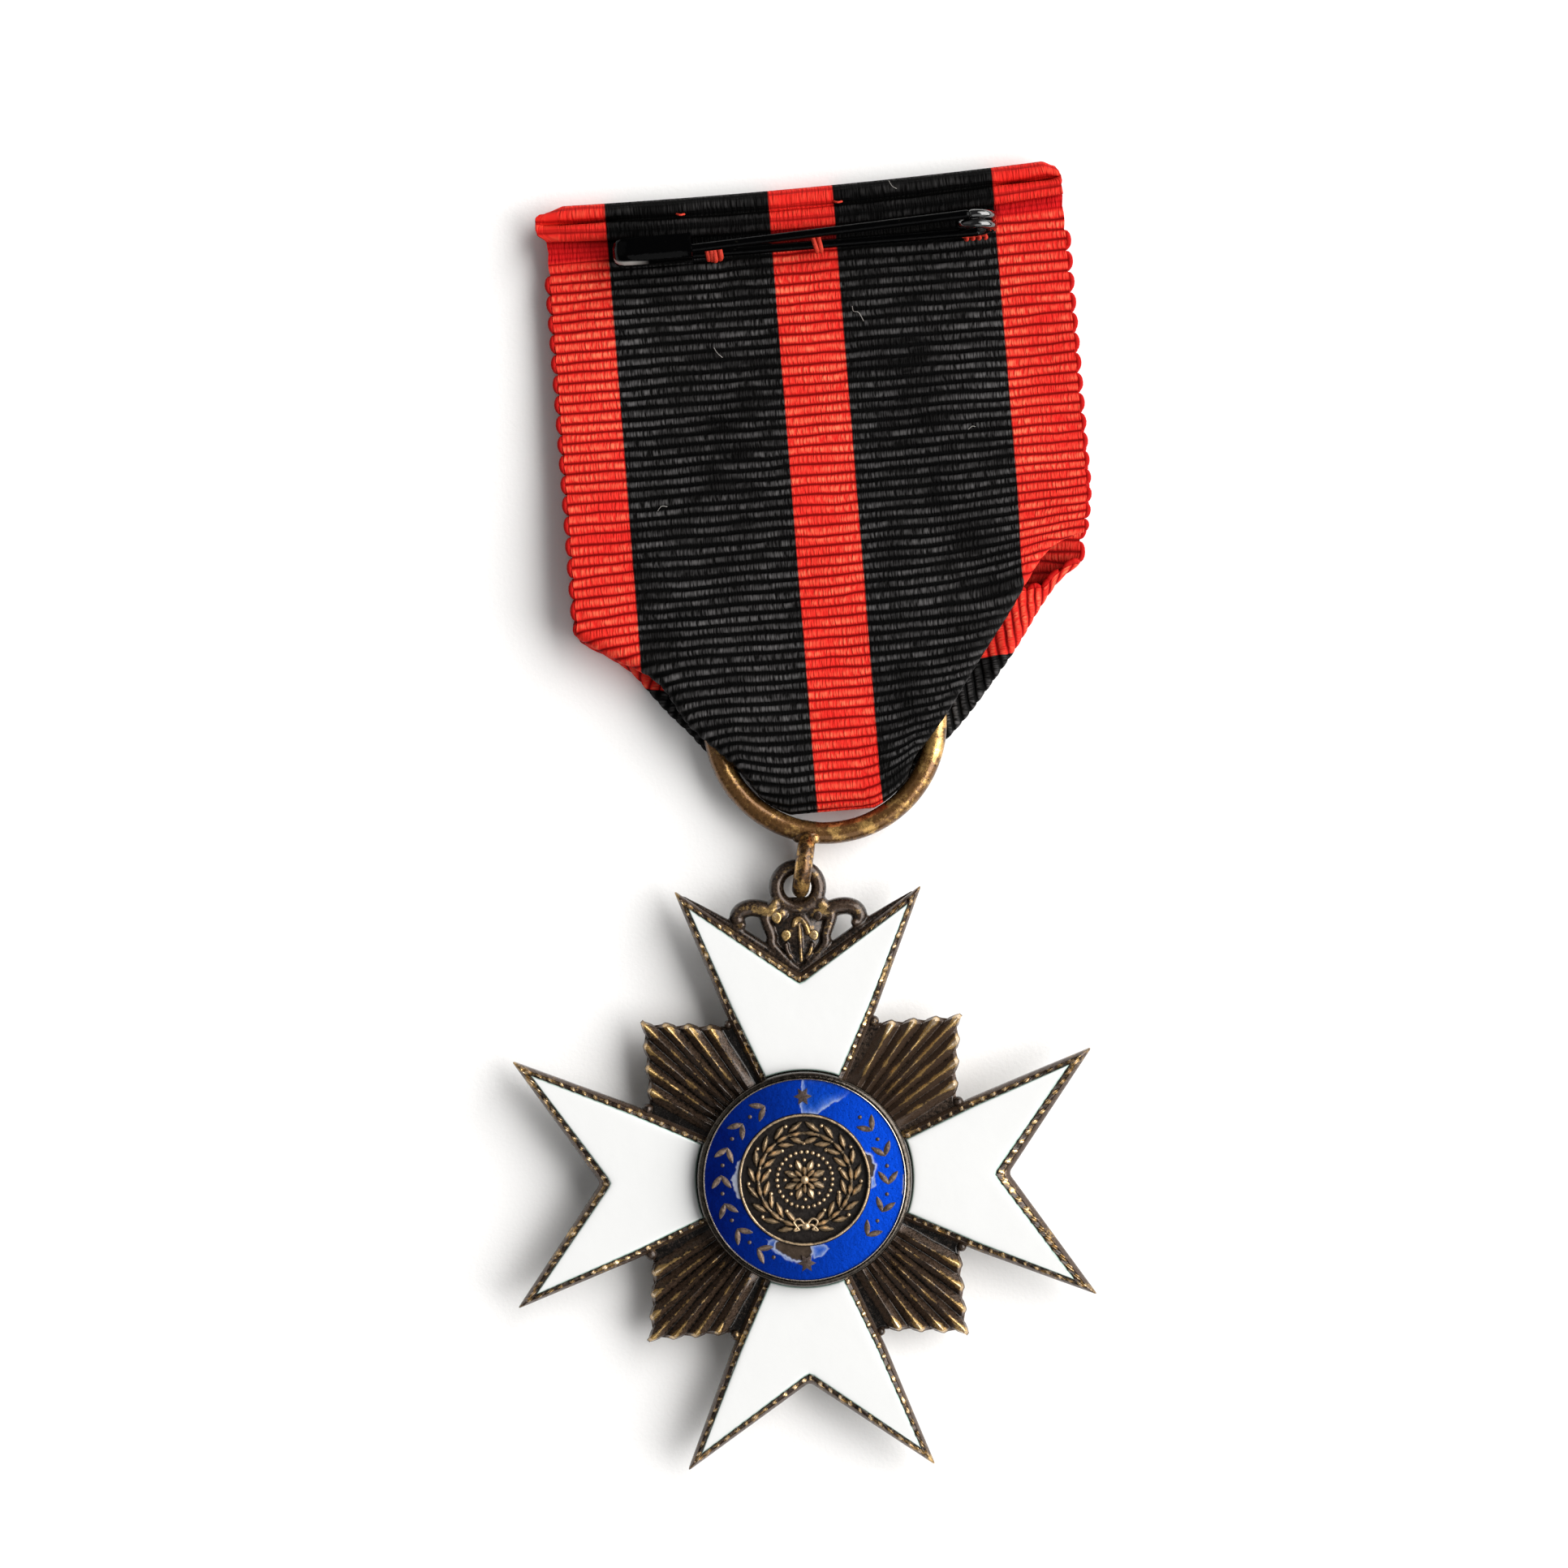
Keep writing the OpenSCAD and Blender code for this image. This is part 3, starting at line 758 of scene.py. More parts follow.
def hub():
    """The round plate that carries both medallions."""
    low, high, out_r = MID_Z - 0.7, MID_Z + 0.7, BEZEL_R - 0.1
    return revolved([(0.01, low), (out_r, low), (out_r, high), (0.01, high)], 96, wear=0.0)


# Cross: the pierced hanger

def bar(line, step, sizes, sides, flat):
    """A tube through a few points, whose radius changes along it. Sizes are pairs of the share
    of the length and the radius there."""
    path = smooth_line(line, step)
    shares, radii = zip(*sizes)
    return tube(path, np.interp(np.linspace(0, 1, len(path)), shares, radii), sides, flat)


def hanger_parts():
    """Rough shapes of the hanger, which are melted together afterwards."""
    z = MID_Z
    shapes = []
    around = np.linspace(0, 2 * np.pi, 49)
    eye = [(1.54 * math.sin(a), 21.06 + 1.5 * math.cos(a), z) for a in around]
    shapes.append(tube(eye[:-1] + eye[:2], 0.55, 16, 1.25))
    for side in (-1, 1):
        scroll = [(1.2, 19.2), (2.0, 19.3), (2.75, 19.56), (3.5, 19.64), (4.15, 19.42), (4.46, 18.95),
                  (4.3, 18.45)]
        sizes = [(0, 0.64), (0.35, 0.66), (0.75, 0.62), (1, 0.52)]
        shapes.append(bar([(side * x, y, z - 0.08) for x, y in scroll], 0.15, sizes, 14, 1.25))
        stalk = [(1.65, 19.9), (2.35, 19.1), (2.2, 18.3), (1.95, 17.6), (1.95, 17.0), (1.4, 16.3),
                 (0.6, 15.5)]
        sizes = [(0, 0.52), (0.3, 0.46), (1, 0.32)]
        shapes.append(bar([(side * x, y, z + 0.05) for x, y in stalk], 0.15, sizes, 14, 1.4))
        edge = [(8.3, 20.52), (6.8, 19.56), (5.4, 18.66), (4.5, 18.05), (3.6, 17.42), (2.0, 16.35),
                (0.0, 15.0)]
        sizes = [(0, 0.1), (0.15, 0.22), (0.35, 0.34), (0.45, 0.42), (1, 0.42)]
        shapes.append(bar([(side * x, y, z - 0.1) for x, y in edge], 0.2, sizes, 12, 1.4))
        rib = smooth_line([(side * 0.95, 16.95, z + 0.5), (side * 0.82, 16.4, z + 0.55),
                           (side * 0.5, 15.95, z + 0.5)], 0.1)
        shapes.append(tube(rib, 0.15, 10))
        shapes.append(blob((side * 4.1, 18.42, z + 0.3), (0.32, 0.3, 0.4)))
    body = [(0, y, z - 0.12) for y in (19.5, 18.9, 18.3, 17.7, 17.0, 16.0, 15.1)]
    sizes = [(0, 1.3), (0.15, 1.8), (0.35, 2.05), (0.65, 1.45), (1, 0.4)]
    shapes.append(bar(body, 0.15, sizes, 24, 0.36))
    hood = [(-0.36, 18.3), (-0.2, 18.72), (0.2, 18.75), (0.52, 18.3), (0.72, 17.75)]
    shapes.append(tube(smooth_line([(x, y, z + 0.6) for x, y in hood], 0.1), 0.19, 10, 1.5))
    stem = [(0.03, 18.4), (0.08, 17.4), (0.12, 16.4), (0.13, 15.75)]
    shapes.append(tube(smooth_line([(x, y, z + 0.62) for x, y in stem], 0.15), 0.13, 10, 1.6))
    return shapes


def hanger_studs():
    """Flat-topped drops that stand proud on the hanger, rubbed bright."""
    # Place, half width, half height, lean and wear of each
    studs = [(-1.57, 18.9, 0.42, 0.5, 8, 0.95), (-0.92, 17.6, 0.4, 0.46, -12, 0.9),
             (1.1, 17.58, 0.38, 0.42, 14, 0.9), (1.42, 18.95, 0.36, 0.42, 0, 0.1)]
    shapes = []
    for x, y, wide, tall, lean, wear in studs:
        points, faces, _ = blob((0, 0, 0), (wide, tall, 0.5), 14, 18)
        points[:, 0] *= 1 - 0.35 * np.clip(-points[:, 1] / tall, 0, 1)
        points[:, 2] = np.minimum(points[:, 2], 0.3) - 0.02 * (points[:, 0] / wide) ** 2
        wear_here = np.where(points[:, 2] > 0.24, wear, 0.1)
        shapes.append(moved((points, faces, {"wear": wear_here}), (x, y, MID_Z + 0.5), lean))
    return shapes


def melted(name, shapes, look, voxel, passes):
    """One cast-looking piece: the shapes fused, with their seams smoothed."""
    piece = make_piece(name, shapes, look)
    piece.parent = None
    mesh = piece.data
    co = np.zeros(len(mesh.vertices) * 3)
    mesh.vertices.foreach_get("co", co)
    mesh.vertices.foreach_set("co", co / MM)
    fuse = piece.modifiers.new("fuse", "REMESH")
    fuse.mode = "VOXEL"
    fuse.voxel_size = voxel
    ease = piece.modifiers.new("ease", "SMOOTH")
    ease.iterations = passes
    ease.factor = 0.5
    bpy.context.view_layer.update()
    made = bpy.data.meshes.new_from_object(piece.evaluated_get(bpy.context.evaluated_depsgraph_get()))
    piece.modifiers.clear()
    co = np.zeros(len(made.vertices) * 3)
    made.vertices.foreach_get("co", co)
    p = co.reshape(-1, 3)
    made.vertices.foreach_set("co", co * MM)
    piece.data = made
    made.materials.clear()
    made.materials.append(look)
    made.shade_smooth()
    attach(piece, "badge")
    return piece, p


def set_mark(piece, name, values):
    """Stores a named value on each point of a piece."""
    layer = piece.data.attributes.get(name) or piece.data.attributes.new(name, "FLOAT", "POINT")
    layer.data.foreach_set("value", np.asarray(values, np.float32))


# Medallion

def medallion_bezel():
    """The rounded band round the blue enamel, with a thin bright lip inside it."""
    band = [(7.05, 0), (BEZEL_R, 0), (BEZEL_R, 0.95), (7.735, 1.08), (7.69, 1.2), (7.62, 1.29), (7.53, 1.36),
            (7.43, 1.4), (7.39, 1.4), (7.35, 1.35), (7.32, 1.42), (7.285, 1.47), (7.25, 1.49), (7.22, 1.46),
            (7.2, 1.38), (7.2, 0.7)]
    wear = [0, 0, 0, 0, 0.1, 0.2, 0.2, 0.1, 0, 0, 0.6, 1.1, 1.4, 1.2, 0.4, 0]
    return revolved([(r, BACK_Z + up) for r, up in band], 256, wear=wear)


def medallion_disc():
    """The dark disc in the middle, in its thin raised ring."""
    ring = [(INNER_RING_R, BACK_Z + 0.5), (INNER_RING_R + 0.02, BACK_Z + 1.38), (4.72, METAL_TOP + 0.02),
            (4.64, METAL_TOP + 0.03), (4.57, METAL_TOP - 0.02), (DISC_R, DISC_TOP - 0.1), (4.5, BACK_Z + 0.5)]
    disc = [(0.01, BACK_Z), (7.3, BACK_Z), (7.3, BACK_Z + 0.75), (4.7, BACK_Z + 0.75), (4.6, DISC_TOP),
            (4.3, DISC_TOP + 0.02), (3.0, DISC_TOP + 0.07), (1.5, DISC_TOP + 0.1), (0.01, DISC_TOP + 0.1)]
    return [revolved(ring, 192, wear=[0, 0.2, 0.9, 1.0, 0.7, 0, 0]), revolved(disc, 160, wear=-0.5)]


def leaf(length, width, height, steps=9, cols=7):
    """A pointed leaf with a raised middle rib, lying along +X about its own middle."""
    t = np.linspace(0.02, 0.98, steps)[:, None]
    s = np.linspace(-1, 1, cols)[None]
    half = width / 2 * np.sin(np.pi * t) ** 0.8
    x = (t - 0.5) * length + 0 * s
    y = half * s
    z = height * np.sin(np.pi * t) ** 0.4 * (1 - 0.75 * np.abs(s) ** 1.3)
    top = np.stack([x, y, z], 2).reshape(-1, 3)
    floor = top * (1, 1, 0) - (0, 0, 0.3)
    n = steps * cols
    quads = grid_faces(steps, cols)
    line = [i * cols + j for i, j in border(steps, cols)]
    faces = quads + [tuple(k + n for k in f[::-1]) for f in quads]
    faces += [(b, a, a + n, b + n) for a, b in zip(line, line[1:] + line[:1])]
    wear = 0.45 + 0.6 * (z / height)
    return part(np.concatenate([top, floor]), faces, wear=np.concatenate([wear.ravel(), np.zeros(n)]))


def turned_part(shape, r, angle, z):
    """A shape put at a radius and an angle about the middle of the cross, at a height."""
    return moved(moved(shape, (r, 0, 0)), (0, 0, z), angle)


def star(r, height):
    """A flat six-pointed star with sloping points."""
    a = np.radians(np.arange(12) * 30 + 90)
    radius = np.where(np.arange(12) % 2 == 0, r, r * 0.52)
    edge = np.column_stack([radius * np.cos(a), radius * np.sin(a), np.zeros(12)])
    points = np.vstack([edge - (0, 0, 0.3), edge, edge * 0.5 + (0, 0, height), [[0, 0, height * 1.2]]])
    faces = [(j, (j + 1) % 12, 12 + (j + 1) % 12, 12 + j) for j in range(12)]
    faces += [(12 + j, 12 + (j + 1) % 12, 24 + (j + 1) % 12, 24 + j) for j in range(12)]
    faces += [(24 + j, 24 + (j + 1) % 12, 36) for j in range(12)]
    faces.append(tuple(range(12))[::-1])
    return part(points, faces, wear=0.45)


def blue_ring_ornaments():
    """Two stars and a row of small sprigs, each of two leaves and a berry, set in the blue enamel."""
    r = (BLUE_R + INNER_RING_R) / 2
    shapes = [turned_part(star(0.68, 0.04), r, 90 + turn, BLUE_TOP + 0.04) for turn in (0, 180)]
    for side, count in ((180, 7), (0, 5)):
        for k in range(count):
            angle = side + (k - (count - 1) / 2) * 19.5
            for lean, shift in ((52, 0.33), (128, -0.33)):
                petal = moved(leaf(1.25, 0.42, 0.05), (shift, 0, 0), lean)
                shapes.append(turned_part(petal, r, angle, BLUE_TOP + 0.035))
            berry = blob((0, 0, 0), (0.15, 0.15, 0.07), 7, 12, wear=0.4)
            shapes.append(turned_part(berry, r, angle + 8.2, BLUE_TOP + 0.03))
    return shapes


def wreath():
    """A closed laurel wreath of leaf pairs with berries, tied at the foot."""
    z = DISC_TOP + 0.06
    r = 3.35
    shapes = []
    around = np.radians(np.linspace(-90, 270, 121))
    stem = np.column_stack([r * np.cos(around), r * np.sin(around), np.full(121, z + 0.12)])
    shapes.append(tube(stem, 0.11, 10, wear=0.75))
    for side in (1, -1):
        for k in range(9):
            angle = 90 - side * (180 - 22 - 18.6 * k)
            for lean, shift in ((62, 0.5), (118, -0.5), (90, 0.0)):
                size = (1.35, 0.5, 0.4) if shift else (1.2, 0.42, 0.5)
                one = moved(leaf(*size), (shift, 0, 0), side * lean)
                shapes.append(turned_part(one, r, angle, z))
            berry = blob((0, 0, 0), (0.15, 0.15, 0.15), 7, 10, wear=1.0)
            shapes.append(turned_part(berry, r + (0.72 if k % 2 else -0.72), angle + side * 9.3, z + 0.12))
    shapes.append(blob((0, -r, z + 0.2), (0.34, 0.3, 0.28), wear=1.0))
    for side in (-1, 1):
        for bend in (-0.22, 0.22):
            line = [(0, 0), (0.45, 0.3 + bend), (0.85, bend * 1.4), (0.5, -0.25)]
            path = smooth_line([(side * x, y - r, z + 0.3) for x, y in line], 0.06)
            shapes.append(tube(path, 0.09, 8, 1.2, wear=0.9))
    return shapes


def rosette():
    """A double rosette in a beaded ring, in the middle of the disc."""
    z = DISC_TOP + 0.08
    shapes = []
    for turn in range(0, 360, 45):
        shapes.append(turned_part(leaf(1.15, 0.62, 0.34), 1.05, turn + 22.5, z))
        shapes.append(turned_part(leaf(0.85, 0.4, 0.5), 0.62, turn, z + 0.08))
        a = math.radians(turn)
        spot = (1.42 * math.cos(a), 1.42 * math.sin(a), z + 0.1)
        shapes.append(blob(spot, (0.14, 0.14, 0.15), 7, 10, wear=1.0))
    for turn in np.linspace(0, 2 * np.pi, 30, endpoint=False):
        spot = (2.0 * math.cos(turn), 2.0 * math.sin(turn), z + 0.08)
        shapes.append(blob(spot, (0.15, 0.15, 0.16), 7, 10, wear=0.95))
    shapes.append(blob((0, 0, z + 0.3), (0.32, 0.32, 0.3), wear=1.0))
    return shapes


# Chips in the blue enamel: outline, depth, and whether it is bruised, pale or bare metal
CHIPS = [
    ([(-0.12, 7.3), (1.2, 7.35), (2.5, 7.15), (3.35, 6.75), (3.45, 6.2), (2.9, 5.75), (2.0, 5.35), (1.5, 5.0),
      (1.1, 4.65), (-0.15, 4.7), (-0.3, 5.4), (-0.15, 6.3)], 0.07, "bruise"),
    ([(-2.1, -4.3), (-2.35, -4.95), (-1.7, -5.35), (-1.1, -5.75), (-0.4, -5.9), (0.25, -5.75), (0.4, -5.2),
      (0.3, -4.5)], 0.15, "bare"),
    ([(-2.9, -4.2), (-2.8, -4.75), (-2.2, -5.25), (-1.6, -5.7), (-1.0, -5.95), (-1.0, -5.4), (-1.9, -4.8),
      (-2.0, -4.2)], 0.07, "bruise"),
    ([(0.3, -4.7), (0.5, -5.75), (1.1, -5.6), (1.75, -5.0), (1.3, -4.6)], 0.06, "bruise"),
    ([(-4.5, 1.6), (-4.85, 1.45), (-5.0, 0.8), (-5.35, 0.1), (-5.15, -0.4), (-4.95, -1.2),
      (-4.5, -1.3)], 0.1, "pale"),
    ([(4.3, 1.9), (4.75, 1.7), (5.1, 0.9), (4.95, 0.1), (4.6, 0.0)], 0.12, "bare"),
    ([(4.75, -0.1), (5.1, 0.1), (5.2, -0.5), (4.7, -0.9)], 0.06, "bruise"),
    ([(6.95, 2.3), (7.2, 2.2), (7.25, 0.9), (7.05, 1.3)], 0.05, "pale"),
    ([(7.05, 0.2), (7.3, 0.3), (7.25, -1.6), (6.95, -1.2)], 0.05, "pale"),
]


def inside_depth(x, y, outline):
    """How far places lie inside a closed outline; negative outside it."""
    p = np.array(outline, float)
    inside = np.zeros(x.shape, bool)
    nearest = np.full(x.shape, np.inf)
    for (ax, ay), (bx, by) in zip(p, np.roll(p, -1, 0)):
        crosses = (ay > y) != (by > y)
        with np.errstate(divide="ignore", invalid="ignore"):
            inside ^= crosses & (x < (bx - ax) * (y - ay) / (by - ay) + ax)
        t = np.clip(((x - ax) * (bx - ax) + (y - ay) * (by - ay)) / ((bx - ax) ** 2 + (by - ay) ** 2), 0, 1)
        nearest = np.minimum(nearest, np.hypot(x - ax - t * (bx - ax), y - ay - t * (by - ay)))
    return np.where(inside, nearest, -nearest)


def blue_ring():
    """The blue enamel ring, a little domed, with its chips sunk in."""
    rows, cols = 48, 860
    r = np.linspace(INNER_RING_R + 0.01, BLUE_R, rows)[:, None]
    a = np.linspace(0, 2 * np.pi, cols, endpoint=False)[None]
    x, y = r * np.cos(a), r * np.sin(a)
    share = (r - INNER_RING_R) / (BLUE_R - INNER_RING_R) + 0 * a
    z = BLUE_TOP - 0.02 + 0.05 * np.sin(np.pi * share) ** 0.6 + 0.005 * ripple(x, y, 1.3, 3)
    chip, bare, glow = np.zeros_like(x), np.zeros_like(x), np.zeros_like(x)
    for number, (outline, depth, kind) in enumerate(CHIPS):
        deep = inside_depth(x, y, outline) + 0.05 * ripple(x, y, 0.5, 60 + number)
        here = rise(deep, 0.0, 0.1)
        z = z - depth * here * (0.55 + 0.45 * rise(deep, 0.05, 0.5))
        if kind == "bruise":
            faint = np.clip(rise(r, 5.9, 6.9) * (x > 0.15) * (y > 0) + 0 * x, 0, 1)
            chip = np.maximum(chip, here * np.exp(-deep.clip(0) / 0.15) * (1 - 0.9 * faint))
            glow = np.maximum(glow, here * np.exp(-deep.clip(0) / 0.5) * (1 - 0.8 * faint))
        elif kind == "pale":
            chip = np.maximum(chip, here * 0.75)
        else:
            bare = np.maximum(bare, here)
            rim = np.exp(-((deep / 0.09) ** 2))
            chip = np.maximum(chip, 0.8 * rim * (deep < 0.1))
    top = np.stack([x, y, z], 2)
    low = np.stack([x, y, np.full_like(x, BACK_Z + 0.82)], 2)[::-1]
    points = np.concatenate([top, low[[0, -1]]])
    faces = grid_faces(rows + 2, cols, loop_rows=True, loop_cols=True)
    blank = np.zeros((2, cols))
    marks = {k: np.concatenate([v, blank]) for k, v in (("chip", chip), ("bare", bare), ("glow", glow))}
    return part(points, [f[::-1] for f in faces], **marks)


# Ring, loop and solder

def torus(r, wire_r, steps, sides):
    """A closed ring of round wire that lies flat."""
    a = np.linspace(0, 2 * np.pi, sides, endpoint=False)
    return revolved(np.column_stack([r + wire_r * np.cos(a), wire_r * np.sin(a)]), steps, wear=0.0)


def ring_and_loop():
    """The ribbon's ring and the leaning loop below it, joined by lumps of solder."""
    ring = torus(RING_R, RING_WIRE_R, 220, 32)
    points = ring[0]
    # The ring is more worn at its lower right and along its top, where the wear is partly a painted sheen;
    # the pale patch at its right side is a painted reflection of the light
    angle = np.arctan2(points[:, 1], points[:, 0])
    points += 0.012 * unit([1, 1, 1]) * ripple(angle * RING_R, points[:, 2], 1.6, 8)[:, None]
    lower = np.exp(-((np.degrees(angle) + 60) / 38) ** 2)
    right = np.exp(-((np.degrees(angle) - 5) / 30) ** 2)
    crown = rise(points[:, 2] / RING_WIRE_R, 0.35, 0.95)
    ring = part(points + RING_AT, ring[1], wear=0.15 * lower + 0.5 * right + 0.35 * crown, warm=crown)
    loop = torus(LOOP_R, LOOP_WIRE_R, 96, 28)
    p = loop[0]
    tilt = math.radians(LOOP_TILT)
    flat = np.column_stack([p[:, 1] * math.sin(tilt), p[:, 1] * math.cos(tilt), p[:, 0]])
    flat += p[:, 2:3] * np.array([math.cos(tilt), -math.sin(tilt), 0])
    loop = part(flat + LOOP_AT, loop[1], wear=0.45)
    shapes = [ring, loop]
    solder = [((0.85, 24.75, 2.45), (0.95, 0.5, 0.62), 0.3), ((1.25, 24.55, 2.75), (0.5, 0.4, 0.35), 0.6),
              ((0.2, 24.6, 2.4), (0.5, 0.35, 0.4), 0.1)]
    return shapes + [blob(spot, size, 12, 18, wear=wear) for spot, size, wear in solder]


# Ribbon

def at_ribbon(points):
    """Points in the ribbon's own axes, u across it and v along it, put into the frame's axes."""
    p = np.array(points, float).reshape(-1, 3) + (RIBBON_SHIFT, 0, 0)
    return turned(p, RIBBON_LEAN) + (RING_AT[0], RING_AT[1], 0)


BOTTOM_ARC = FOLD_R * math.pi / 2


def to_along(v):
    """The length along the cloth, from the bottom fold, of a place v on a flat layer."""
    return v - FOLD_V + BOTTOM_ARC


def flat_v(w):
    """The place v, on a flat layer, of a length w along the cloth."""
    return w + FOLD_V - BOTTOM_ARC


def layer_path(z_side, rows):
    """A layer's section as (v, z): a quarter turn from the bottom fold, then the rows."""
    turn = np.linspace(0, np.pi / 2, 9)[:-1]
    arc = [(FOLD_V - FOLD_R * math.cos(t), FOLD_MID_Z + z_side * FOLD_R * math.sin(t)) for t in turn]
    flat = smooth_line([(FOLD_V, FOLD_MID_Z + z_side * FOLD_R), *rows], 0.1)
    return np.vstack([arc, flat])


# The part of a roll that lies farthest out, as a share of its radius past the fold line
OUTERMOST = 0.57
# The bow changes how far a place is from the line, so it is worked out again this many times
BOW_ROUNDS = 6


def folded(u, w, line, bow, bow_reach, roll):
    """Where places of the flat cloth go when what lies beyond the line is turned under it.
    The line's right-hand side is turned under in a roll of the given radius, and the weave
    bows by so much within bow_reach of it. Gives u, w and the depth below the layer."""
    def measure(p):
        """Each place's nearest point on the line, its distance beyond the line, and the way out."""
        best = np.full(len(p), np.inf)
        foot, normal = np.zeros_like(p), np.zeros_like(p)
        for start, step in zip(line[:-1], np.diff(line, axis=0)):
            t = np.clip(((p - start) @ step) / (step @ step), 0, 1)
            here = start + t[:, None] * step
            gap = np.linalg.norm(p - here, axis=1)
            near = gap < best
            best[near], foot[near] = gap[near], here[near]
            normal[near] = unit((step[1], -step[0]))
        signed = np.sign(np.sum((p - foot) * normal, axis=1)) * best
        safe = np.where(np.abs(signed) < 1e-4, 1e-4, signed)
        out = np.where(best[:, None] > 1e-4, (p - foot) / safe[:, None], normal)
        return foot, signed, out

    flat = np.stack([u, w], 1)
    foot, signed, out = measure(flat)
    for _ in range(BOW_ROUNDS):
        bowed = bow * np.exp(-np.abs(signed - OUTERMOST * roll) / bow_reach)
        foot, signed, out = measure(flat + bowed[:, None] * (0, 1))
    signed = signed + CLOTH_HALF
    turn = np.clip((signed + roll) / roll, 0, np.pi)
    beyond = np.maximum(signed + roll - np.pi * roll, 0)
    reach = np.where(signed < -roll, signed, -roll + roll * np.sin(turn) - beyond)
    new = foot + out * (reach - CLOTH_HALF)[:, None]
    return new[:, 0], new[:, 1], roll * (1 - np.cos(turn))


def selvedge(w):
    """The line where the ribs end, a little drawn in between the edge's loops."""
    return -0.27 + 0.08 * np.abs(np.sin(np.pi * w / (2 * RIB)))


class RibbonLayer:
    """One layer of the ribbon: a strip of cloth along a path, with its corners turned in along two
    fold lines. inner_side is 1 where the other layer lies above this one, and -1 where below."""

    def __init__(self, path, inner_side, left, right, bows, hem_ribs, drawn_in, seed):
        self.path, self.inner_side, self.upper = path, inner_side, inner_side < 0
        self.bows, self.hem_ribs, self.drawn_in, self.seed = bows, hem_ribs, drawn_in, seed
        self.length = np.concatenate([[0], np.cumsum(np.linalg.norm(np.diff(path, axis=0), axis=1))])
        slope = np.gradient(path, axis=0)
        self.slope = slope / np.linalg.norm(slope, axis=1, keepdims=True)
        self.left, self.right = smooth_line(left, 0.3), smooth_line(right, 0.3)

    def turned_in(self, u, w, in_corner):
        """Places of the flat cloth after the corners are turned in, and their depths in the fold."""
        roll = ROLL_R + 0.36 * rise(flat_v(w), 0.5, 5) * (1 - 0.8 * in_corner)
        held = within(flat_v(w), -3.5, -0.5, 7.5, 10)
        u = u - self.drawn_in * rise(u, 9, HALF_W) * held
        new_u, new_w, depth = u.copy(), w.copy(), np.zeros(len(u))
        right_bow = self.bows[1] * (1 + 0.8 * in_corner)
        for line, chosen, bow in ((self.left, u < -3, self.bows[0]), (self.right, u > 1, right_bow)):
            bow = np.broadcast_to(bow, u.shape)[chosen]
            reach = 1.5 + 2.0 * in_corner[chosen]
            got = folded(u[chosen], w[chosen], line, bow, reach, roll[chosen])
            new_u[chosen], new_w[chosen], depth[chosen] = got
        return new_u, np.maximum(new_w, 0), depth

    def settle(self, u, w):
        """Places of the flat cloth put where they lie in the finished ribbon."""
        v0 = np.interp(w, self.length, self.path[:, 0])
        in_corner = rise(flat_v(w), 6.5, 9) * self.upper
        calm = rise(w, 0.5, 3) * (1 - rise(flat_v(w), 33, 35))
        w = w + calm * (0.05 * ripple(u, w, 8, self.seed) + 0.015 * ripple(u, w, 2.2, self.seed + 1))
        u, w, depth = self.turned_in(u, w, in_corner)
        v, z = (np.interp(w, self.length, self.path[:, k]) for k in (0, 1))
        v_slope, z_slope = (np.interp(w, self.length, self.slope[:, k]) for k in (0, 1))
        v = v - self.inner_side * z_slope * depth
        z = z + self.inner_side * v_slope * depth
        # The bottom fold follows the ring's wire, and the right side is drawn in low down
        low = np.sqrt(np.maximum(RING_LIMIT_R**2 - (u + RIBBON_SHIFT) ** 2, 9))
        v = v + np.maximum(-FOLD_V + FOLD_R - low, 0) * np.exp(-w / 3)
        u = u - 0.75 * rise(u, 12, 18) * (1 - rise(v, 10, 16))
        v = v + HEM_SLOPE * u * rise(v, 28, 37)
        z = z + 0.10 * ripple(u, v, 9, self.seed + 2) * rise(w, 3, 9) * (1 - rise(v, 30, 34)) * (z > 1)
        return at_ribbon(shaped_hem(u, v, z, v0))

    def grid(self):
        """Places on the flat cloth, across and along it, closer together beyond the fold lines, and
        how far across the right fold line is in each row."""
        w = np.arange(0, self.length[-1], RIB / 6)
        edge = (HALF_W + selvedge(w))[:, None]
        outer, inner, flat_part = 30, 44, 0.75
        left_at = np.interp(w, self.left[::-1, 1], self.left[::-1, 0], right=-25)[:, None]
        right_at = np.interp(w, self.right[:, 1], self.right[:, 0], right=25)[:, None]
        near_left = np.maximum(left_at + flat_part, -HALF_W + 1.5)
        near_right = np.minimum(right_at - flat_part, HALF_W - 1.5)
        share = np.linspace(0, 1, outer)[None] ** 1.25
        middle = np.linspace(0, 1, inner, endpoint=False)[None]
        u = np.hstack([
            near_left - (near_left + edge) * share[:, :0:-1],
            near_left + (near_right - near_left) * middle,
            near_right + (edge - near_right) * share,
        ])
        return u, np.repeat(w[:, None], u.shape[1], axis=1), right_at

    def cloth(self):
        """The layer's ribbed sheet. It carries painted shade in the right corner's pocket of the lower layer,
        and on both faces in the line under the pin of the upper one, where these lie in shadow."""
        u, along, right_at = self.grid()
        middle = self.settle(u.ravel(), along.ravel()).reshape(*u.shape, 3)
        flat = flat_v(along)
        plain = (1 - self.hem_ribs) * rise(flat - HEM_SLOPE * u, RIBS_END_V, RIBS_END_V + 0.35)
        crest = np.abs(np.sin(np.pi * along / RIB)) ** 0.7
        at_fold = np.exp(-(((u - right_at) / 1.3) ** 2)) * self.upper
        half = CLOTH_HALF + RIB_RELIEF * crest * (1 - plain) * (1 - 0.9 * at_fold)
        sheet = thick_sheet(middle, half, across=u, along=along, ribbing=1 - plain)
